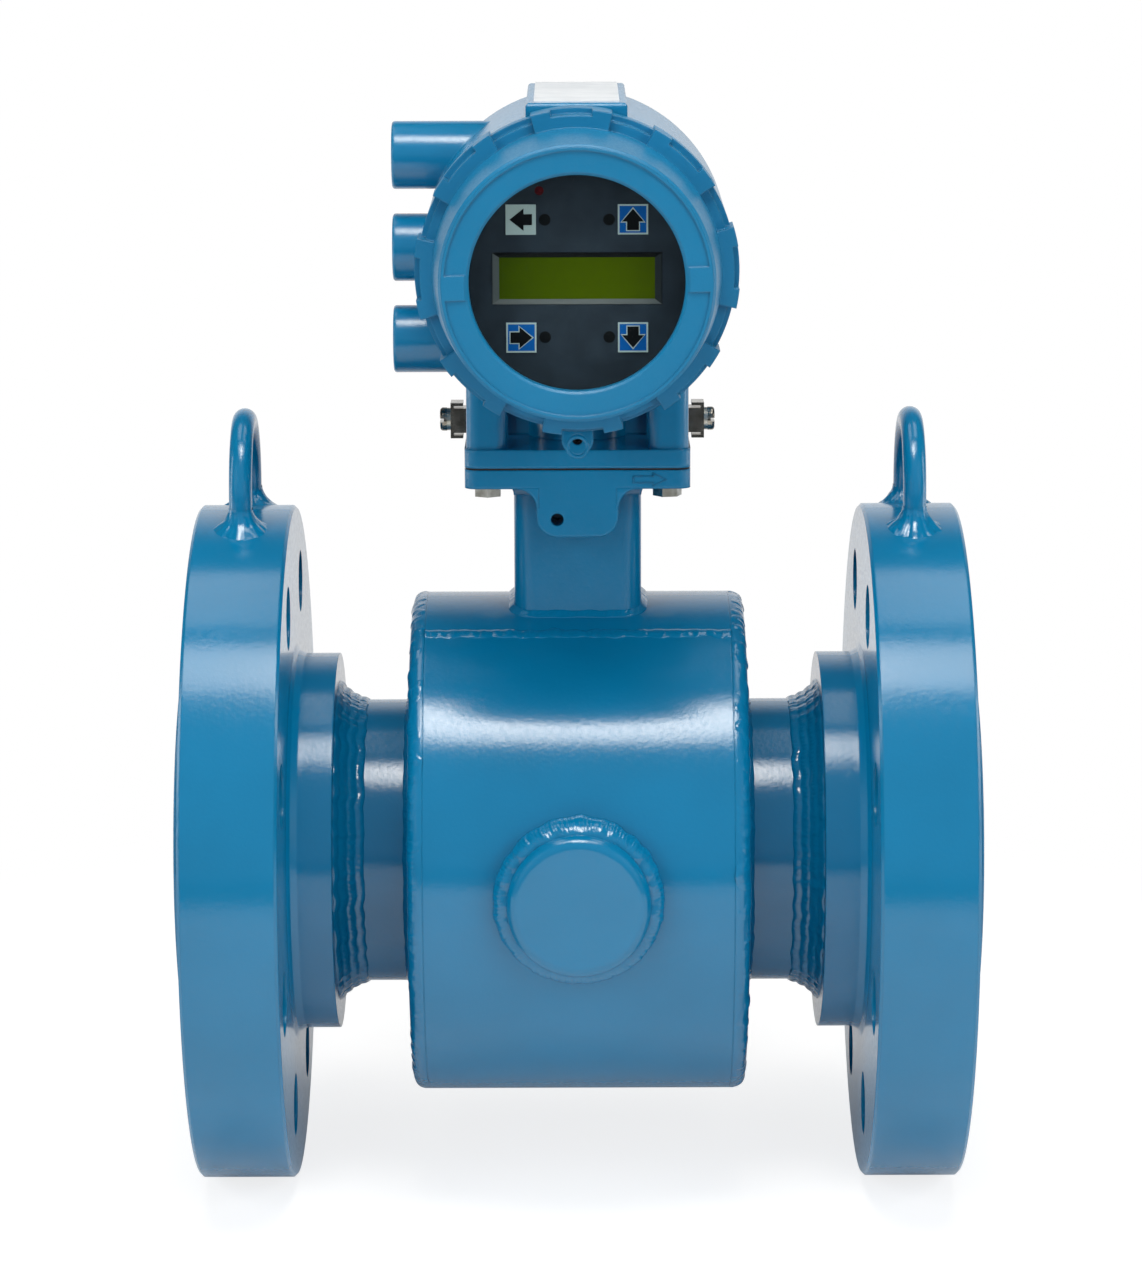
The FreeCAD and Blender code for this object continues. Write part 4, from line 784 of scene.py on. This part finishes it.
class METER_OT_emboss_arrow(bpy.types.Operator):
    """Cast the raised flow arrow on the front of the pedestal's plate"""
    bl_idname = "meter.emboss_arrow"
    bl_label = "Cast the flow arrow"

    def execute(self, context):
        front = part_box("pedestal")[0].y
        tail, neck, tip = 21.9 * MM, 29.6 * MM, 34.8 * MM
        level, shaft, head = 155.5 * MM, 1.25 * MM, 2.5 * MM
        outline = [
            (tail, level - shaft), (neck, level - shaft), (neck, level - head), (tip, level),
            (neck, level + head), (neck, level + shaft), (tail, level + shaft)]
        curve = bpy.data.curves.new("flow_arrow", "CURVE")
        curve.dimensions = "3D"
        curve.bevel_depth = 0.42 * MM
        curve.bevel_resolution = 3
        line = curve.splines.new("POLY")
        line.points.add(len(outline) - 1)
        for point, (x, z) in zip(line.points, outline):
            point.co = (x, front, z, 1)
        line.use_cyclic_u = True
        curve.materials.append(bpy.data.materials["sprayed_enamel_on_casting"])
        arrow = bpy.data.objects.new("flow_arrow", curve)
        context.scene.collection.objects.link(arrow)
        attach(arrow, "meter")
        return {"FINISHED"}


class METER_OT_fit_hardware(bpy.types.Operator):
    """Finish the bolts, the ground terminals, the seals and the lock screw"""
    bl_idname = "meter.fit_hardware"
    bl_label = "Finish the hardware"

    def execute(self, context):
        finish_with(blackened_steel_and_hole_shade(), "cover_lock_screw")
        finish_with(zinc_plate(), "mounting_bolts", "electrode_nuts", "standoffs", "terminal_screws",
                    "window_retainer", "ground_washers")
        finish_with(nickel_plate(), "ground_blocks", "ground_clamps", "ground_screws")
        finish_with(nitrile_rubber(), "pedestal_gasket", "cover_o_rings", "window_seal",
                    "terminal_cover_gasket")
        return {"FINISHED"}


class METER_OT_line_tube(bpy.types.Operator):
    """Finish the liner, the electrodes and the field coils"""
    bl_idname = "meter.line_tube"
    bl_label = "Finish the inside of the tube"

    def execute(self, context):
        finish_with(moulded_ptfe(), "tube_liner", "electrode_insulators")
        finish_with(polished_stainless(), "electrodes")
        finish_with(copper_winding(), "upper_coil", "lower_coil")
        finish_with(bare_steel(), "upper_pole", "lower_pole", "flux_return_band")
        return {"FINISHED"}


class METER_OT_fit_electronics(bpy.types.Operator):
    """Finish the circuit boards and the terminal block"""
    bl_idname = "meter.fit_electronics"
    bl_label = "Finish the electronics"

    def execute(self, context):
        finish_with(board_laminate(), "circuit_boards")
        finish_with(terminal_moulding(), "terminal_block")
        return {"FINISHED"}


class METER_OT_print_display(bpy.types.Operator):
    """Print the display face: its keys with their arrows and the windows; and frame the screen with bevels of
    painted light and shade
    """
    bl_idname = "meter.print_display"
    bl_label = "Print the display face"

    def execute(self, context):
        finish_with(face_film(), "display_bezel")
        finish_with(unlit_lcd(), "lcd_panel")
        finish_with(red_lens(), "status_led")
        finish_with(flat_print_and_shade("key_blue_ink", (*context.scene.meter_colours.keys, 1.0)), "key_labels")
        finish_with(toughened_glass(), "window_glass")
        self.pale = flat_print_and_shade("key_pale_ink", linear("#C6E4E2"))
        self.dark = flat_print_and_shade("key_dark_ink", linear("#0E1216"))
        self.centre = middle("display_bezel")
        self.face_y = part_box("display_bezel")[0].y
        self.key_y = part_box("key_labels")[0].y
        self.print_keys()
        self.print_windows()
        self.frame_screen()
        return {"FINISHED"}

    def sheet(self, name, shapes, material, depth):
        """Thin printed shapes, given by outlines in millimetres about the middle of the face."""
        thickness = 0.06 * MM
        parts = []
        for outline, (x, z) in shapes:
            flat = [(self.centre.x + (x + px) * MM, self.centre.z + (z + pz) * MM) for px, pz in outline]
            parts.append(prism(flat, depth - thickness, depth))
        points, faces = join(parts)
        make_piece(name, points, faces, material, "meter", smooth=False)

    def arrow(self, tip, base, half_head, tail, half_shaft, turn, grow=0.0):
        """The outline of a block arrow that points along +X before it is turned by quarter turns."""
        tip, base, tail = tip + grow * 1.7, base - grow, tail - grow
        half_head, half_shaft = half_head + grow * 1.5, half_shaft + grow
        outline = [(tail, -half_shaft), (base, -half_shaft), (base, -half_head), (tip, 0),
                   (base, half_head), (base, half_shaft), (tail, half_shaft)]
        for _ in range(turn):
            outline = [(-z, x) for x, z in outline]
        return outline

    def print_keys(self):
        """Blue keys with pale edges and dark arrows; the upper left key is pale all over."""
        column, row, half, edge, rim = 20.9, 22.1, 5.65, 0.63, 0.38
        inner = half - edge
        pale_key, blue_keys = (-column, row), ((column, row), (-column, -row), (column, -row))
        pale_arrow = (4.2, -1.05, 4.2, -4.2, 2.05, 2)
        blue_arrows = (
            (4.6, -1.2, 4.7, -4.4, 2.6, 1), (4.7, -1.05, 4.6, -4.45, 2.4, 0), (4.6, -1.2, 4.7, -4.45, 2.5, 3))
        bars = (
            oblong(-half, inner, half, half), oblong(-half, -half, half, -inner),
            oblong(-half, -inner, -inner, inner), oblong(inner, -inner, half, inner))
        edges = [(bar, place) for place in blue_keys for bar in bars]
        edges.append((oblong(-half, -half, half, half), pale_key))
        rims = [(self.arrow(*sizes), place) for sizes, place in zip(blue_arrows, blue_keys)]
        bodies = [(self.arrow(*pale_arrow), pale_key)]
        bodies += [(self.arrow(*sizes, -rim), place) for sizes, place in zip(blue_arrows, blue_keys)]
        self.sheet("key_pale_edges", edges, self.pale, self.key_y - 0.02 * MM)
        self.sheet("key_arrow_edges", rims, self.pale, self.key_y - 0.05 * MM)
        self.sheet("key_arrows", bodies, self.dark, self.key_y - 0.12 * MM)

    def print_windows(self):
        """The dark windows beside the keys, behind which their sensors sit."""
        column, row, radius = 12.0, 22.0, 2.2
        disc = [(radius * c, radius * s) for c, s in circle(32)]
        windows = [(disc, (x, z)) for x in (-column, column) for z in (-row, row)]
        self.sheet("sensor_windows", windows, self.dark, self.face_y - 0.02 * MM)

    def frame_screen(self):
        """The bevelled frame round the screen, in painted light and shade: pale along its lower edge, which
        faces up, and dark along its upper edge.
        """
        low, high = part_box("lcd_panel")
        half_x, half_z = (high.x - low.x) / 2, (high.z - low.z) / 2
        out_x, out_z = 31.6 * MM, 9.6 * MM
        outer, inner = oblong(-out_x, -out_z, out_x, out_z), oblong(-half_x, -half_z, half_x, half_z)
        front, back, root = self.face_y - 0.1 * MM, low.y - 0.05 * MM, low.y + 0.4 * MM
        cx, cz = self.centre.x, (low.z + high.z) / 2
        faces = [(0, 1, 2, 3), (7, 6, 5, 4), (0, 4, 5, 1), (1, 5, 6, 2), (2, 6, 7, 3), (3, 7, 4, 0)]
        # Painted light and shade: one grey for each bevel of the same frame, lightest below and on the left,
        # darkest above.
        bevel_light_and_shade = (("lower", "#6F7B7B"), ("right", "#2A3438"), ("upper", "#12171B"), ("left", "#5A6668"))
        for k, (name, code) in enumerate(bevel_light_and_shade):
            n = (k + 1) % 4
            ring = [outer[k], outer[n], inner[n], inner[k]]
            points = [(cx + x, y, cz + z) for (x, z), y in zip(ring, (front, front, back, back))]
            points += [(cx + x, root, cz + z) for x, z in ring]
            ink = flat_print_and_shade("frame_" + name + "_bevel", linear(code))
            make_piece("screen_frame_" + name, points, faces, ink, "meter", smooth=False)


class METER_OT_fix_label(bpy.types.Operator):
    """Finish the bare label on top of the housing"""
    bl_idname = "meter.fix_label"
    bl_label = "Fix the label"

    def execute(self, context):
        finish_with(label_stock(), "name_plate")
        return {"FINISHED"}


class METER_OT_set_stage(bpy.types.Operator):
    """Set the floor, the lights, the surroundings and the camera"""
    bl_idname = "meter.set_stage"
    bl_label = "Set the stage"

    def execute(self, context):
        self.lay_floor(CAD_BOX[0].z)
        self.hang_lamps(context)
        self.surround(context)
        self.place_camera(context)
        return {"FINISHED"}

    def lay_floor(self, height):
        """A white floor that keeps the meter's soft shadow and fades into white away from it. It ends
        in front of the meter, so upright paint mirrors it no further than the meter's own foot."""
        reach, front = 6.0, -1.15
        data = bpy.data.meshes.new("floor")
        corners = [
            (-reach, front, height), (reach, front, height), (reach, reach, height), (-reach, reach, height)]
        data.from_pydata(corners, [], [(0, 1, 2, 3)])
        floor = bpy.data.objects.new("floor", data)
        bpy.context.scene.collection.objects.link(floor)
        material, tree, where = start_material("white_paper_floor")
        data.materials.append(material)
        path = add(tree, "ShaderNodeLightPath").outputs

        # Camera rays and transmitted rays see white paper, and glossy rays only from the meter's foot back.
        split = add(tree, "ShaderNodeSeparateXYZ", {"Vector": where})
        paper = add(tree, "ShaderNodeMapRange", {
            "Value": split.outputs["Y"], "From Min": -0.58, "From Max": -0.42},
            interpolation_type="SMOOTHSTEP")
        mirrored = add(tree, "ShaderNodeMath", {
            0: path["Is Glossy Ray"], 1: paper.outputs["Result"]}, operation="MULTIPLY")
        direct = add(tree, "ShaderNodeMath", {
            0: path["Is Camera Ray"], 1: mirrored.outputs["Value"]}, operation="MAXIMUM")
        seen = add(tree, "ShaderNodeMath", {
            0: direct.outputs["Value"], 1: path["Is Transmission Ray"]}, operation="MAXIMUM")

        # The paper is lifted a little by its own glow, and turns plain white away from the meter.
        glow = add(tree, "ShaderNodeMapRange", {
            "Value": path["Is Camera Ray"], "To Min": 0.15, "To Max": 0.5})
        lift = add(tree, "ShaderNodeMath", {
            0: glow.outputs["Result"], 1: seen.outputs["Value"]}, operation="MULTIPLY")
        distance = add(tree, "ShaderNodeVectorMath", {0: where}, operation="LENGTH")
        far = add(tree, "ShaderNodeMapRange", {
            "Value": distance.outputs["Value"], "From Min": 0.25, "From Max": 0.6},
            interpolation_type="SMOOTHSTEP")
        away = add(tree, "ShaderNodeMath", {
            0: far.outputs["Result"], 1: seen.outputs["Value"]}, operation="MULTIPLY")
        least = add(tree, "ShaderNodeMath", {0: path["Is Camera Ray"], 1: 0.6}, operation="MULTIPLY")
        fade = add(tree, "ShaderNodeMath", {
            0: away.outputs["Value"], 1: least.outputs["Value"]}, operation="MAXIMUM")

        paper_shader = add(tree, "ShaderNodeBsdfPrincipled", {
            "Base Color": linear("#F7F7F7"), "Roughness": 0.9, "Specular IOR Level": 0.0,
            "Emission Color": (1, 1, 1, 1), "Emission Strength": lift.outputs["Value"]})
        white = add(tree, "ShaderNodeEmission", {"Color": (1, 1, 1, 1), "Strength": 1.0})
        mix = add(tree, "ShaderNodeMixShader", {
            0: fade.outputs["Value"], 1: paper_shader.outputs["BSDF"], 2: white.outputs["Emission"]})
        add(tree, "ShaderNodeOutputMaterial", {"Surface": mix.outputs["Shader"]})

    def hang_lamps(self, context):
        """A broad softbox over the meter and a hotter strip in its middle, two panels behind, an upright
        strip at each side, and two fills in front that only matte light comes from."""
        self.hang_panel(context, "softbox", 0.95, 0.48, 4.6, 21.0)
        self.hang_panel(context, "centre_strip", 0.27, 0.60, 11.0, 26.5)
        self.hang_panel(context, "left_panel", 0.42, 0.62, 2.0, -10.0, -0.36)
        self.hang_panel(context, "right_panel", 0.42, 0.62, 2.0, -10.0, 0.36)
        hands = ((-1, "left"), (1, "right"))
        for side, name in hands:
            strip = self.hang_panel(context, name + "_strip", 0.30, 0.80, 3.0)
            strip.location = (side * 1.25, 0.16, 0.25)
            strip.rotation_euler = (math.radians(90), 0, side * math.radians(90))
        for side, name in hands:
            fill = self.hang_panel(context, name + "_fill", 1.0, 1.0, 4.4)
            fill.location = (side * 1.44, -1.21, 0.78)
            fill.rotation_euler = (-fill.location).to_track_quat("-Z", "Y").to_euler()
            fill.visible_glossy = False

    def hang_panel(self, context, name, width, depth, radiance, lean=0.0, aside=0.0):
        """One area lamp of a size and a brightness, at an angle from straight above."""
        distance, angle = 1.25, math.radians(lean)
        lamp = bpy.data.lights.new(name, "AREA")
        lamp.shape = "RECTANGLE"
        lamp.size = width
        lamp.size_y = depth
        lamp.energy = radiance * math.pi * width * depth
        lamp.color = (1.0, 0.96, 0.90)
        panel = bpy.data.objects.new(name, lamp)
        context.scene.collection.objects.link(panel)
        panel.location = (aside, -distance * math.sin(angle), distance * math.cos(angle))
        panel.rotation_euler = (-angle, 0, 0)
        return panel

    def surround(self, context):
        """White behind, blue-grey in front and dark below the horizon: the room that the paint mirrors."""
        world = bpy.data.worlds.new("studio")
        world.use_nodes = True
        tree = world.node_tree
        tree.nodes.clear()
        direction = add(tree, "ShaderNodeTexCoord").outputs["Generated"]
        split = add(tree, "ShaderNodeSeparateXYZ", {"Vector": direction})
        behind = add(tree, "ShaderNodeMapRange", {
            "Value": split.outputs["Y"], "From Min": 0.70, "From Max": 0.97, "To Min": 0.0, "To Max": 0.85},
            interpolation_type="SMOOTHSTEP")
        ahead = add(tree, "ShaderNodeMapRange", {
            "Value": split.outputs["Y"], "From Min": -0.75, "From Max": -0.2, "To Min": 1.0, "To Max": 0.18},
            interpolation_type="SMOOTHSTEP")
        level = add(tree, "ShaderNodeMapRange", {
            "Value": split.outputs["Z"], "From Min": -0.10, "From Max": 0.05, "To Min": 0.12, "To Max": 1.0},
            interpolation_type="SMOOTHSTEP")
        front = add(tree, "ShaderNodeMath", {
            0: ahead.outputs["Result"], 1: level.outputs["Result"]}, operation="MULTIPLY")
        room = add(tree, "ShaderNodeVectorMath", {
            0: (0.32, 0.38, 0.45), "Scale": front.outputs["Value"]}, operation="SCALE")
        wall = add(tree, "ShaderNodeCombineXYZ", {axis: behind.outputs["Result"] for axis in "XYZ"})
        light = add(tree, "ShaderNodeVectorMath", {0: room.outputs["Vector"], 1: wall.outputs["Vector"]})
        path = add(tree, "ShaderNodeLightPath")
        white = add(tree, "ShaderNodeCombineXYZ", {axis: path.outputs["Is Camera Ray"] for axis in "XYZ"})
        shown = add(tree, "ShaderNodeVectorMath", {
            0: light.outputs["Vector"], 1: white.outputs["Vector"]}, operation="MAXIMUM")
        background = add(tree, "ShaderNodeBackground", {"Color": shown.outputs["Vector"], "Strength": 1.0})
        add(tree, "ShaderNodeOutputWorld", {"Surface": background.outputs["Background"]})
        context.scene.world = world

    def place_camera(self, context):
        """A long lens from the front, looking slightly down."""
        camera = bpy.data.cameras.new("front")
        camera.sensor_width = 36
        camera.lens = 128.9
        camera.clip_end = 30
        eye = bpy.data.objects.new("front", camera)
        context.scene.collection.objects.link(eye)
        eye.location = (-0.00102, -1.81717, 0.44264)
        eye.rotation_euler = (math.radians(78.794), math.radians(0.190), math.radians(0.019))
        context.scene.camera = eye


STEPS = (
    METER_OT_paint_steelwork, METER_OT_lay_welds, METER_OT_bend_lugs, METER_OT_turn_faces,
    METER_OT_paint_castings, METER_OT_shape_bosses, METER_OT_emboss_arrow, METER_OT_fit_hardware,
    METER_OT_line_tube, METER_OT_fit_electronics, METER_OT_print_display, METER_OT_fix_label,
    METER_OT_set_stage)


class METER_PT_panel(bpy.types.Panel):
    """Settings and steps that finish the flow meter"""
    bl_label = "Flow meter"
    bl_idname = "METER_PT_panel"
    bl_space_type = "VIEW_3D"
    bl_region_type = "UI"
    bl_category = "Flow meter"

    def draw(self, context):
        layout = self.layout
        for group, names in (
                (context.scene.meter_colours, ("paint", "keys")),
                (context.scene.meter_sizes, ("peel", "ripple", "lug_bar", "lug_bend", "lug_rise"))):
            for name in names:
                layout.prop(group, name)
        for step in STEPS:
            layout.operator(step.bl_idname)


CLASSES = (MeterColours, MeterSizes, *STEPS, METER_PT_panel)


def register():
    for item in CLASSES:
        bpy.utils.register_class(item)
    bpy.types.Scene.meter_colours = PointerProperty(type=MeterColours)
    bpy.types.Scene.meter_sizes = PointerProperty(type=MeterSizes)


def unregister():
    del bpy.types.Scene.meter_sizes
    del bpy.types.Scene.meter_colours
    for item in reversed(CLASSES):
        bpy.utils.unregister_class(item)


def main():
    """Register the steps and run them in order."""
    register()
    bpy.context.view_layer.update()
    bpy.context.scene.view_settings.view_transform = "Standard"
    for step in STEPS:
        group, name = step.bl_idname.split(".")
        getattr(getattr(bpy.ops, group), name)()


if __name__ == "__main__":
    main()
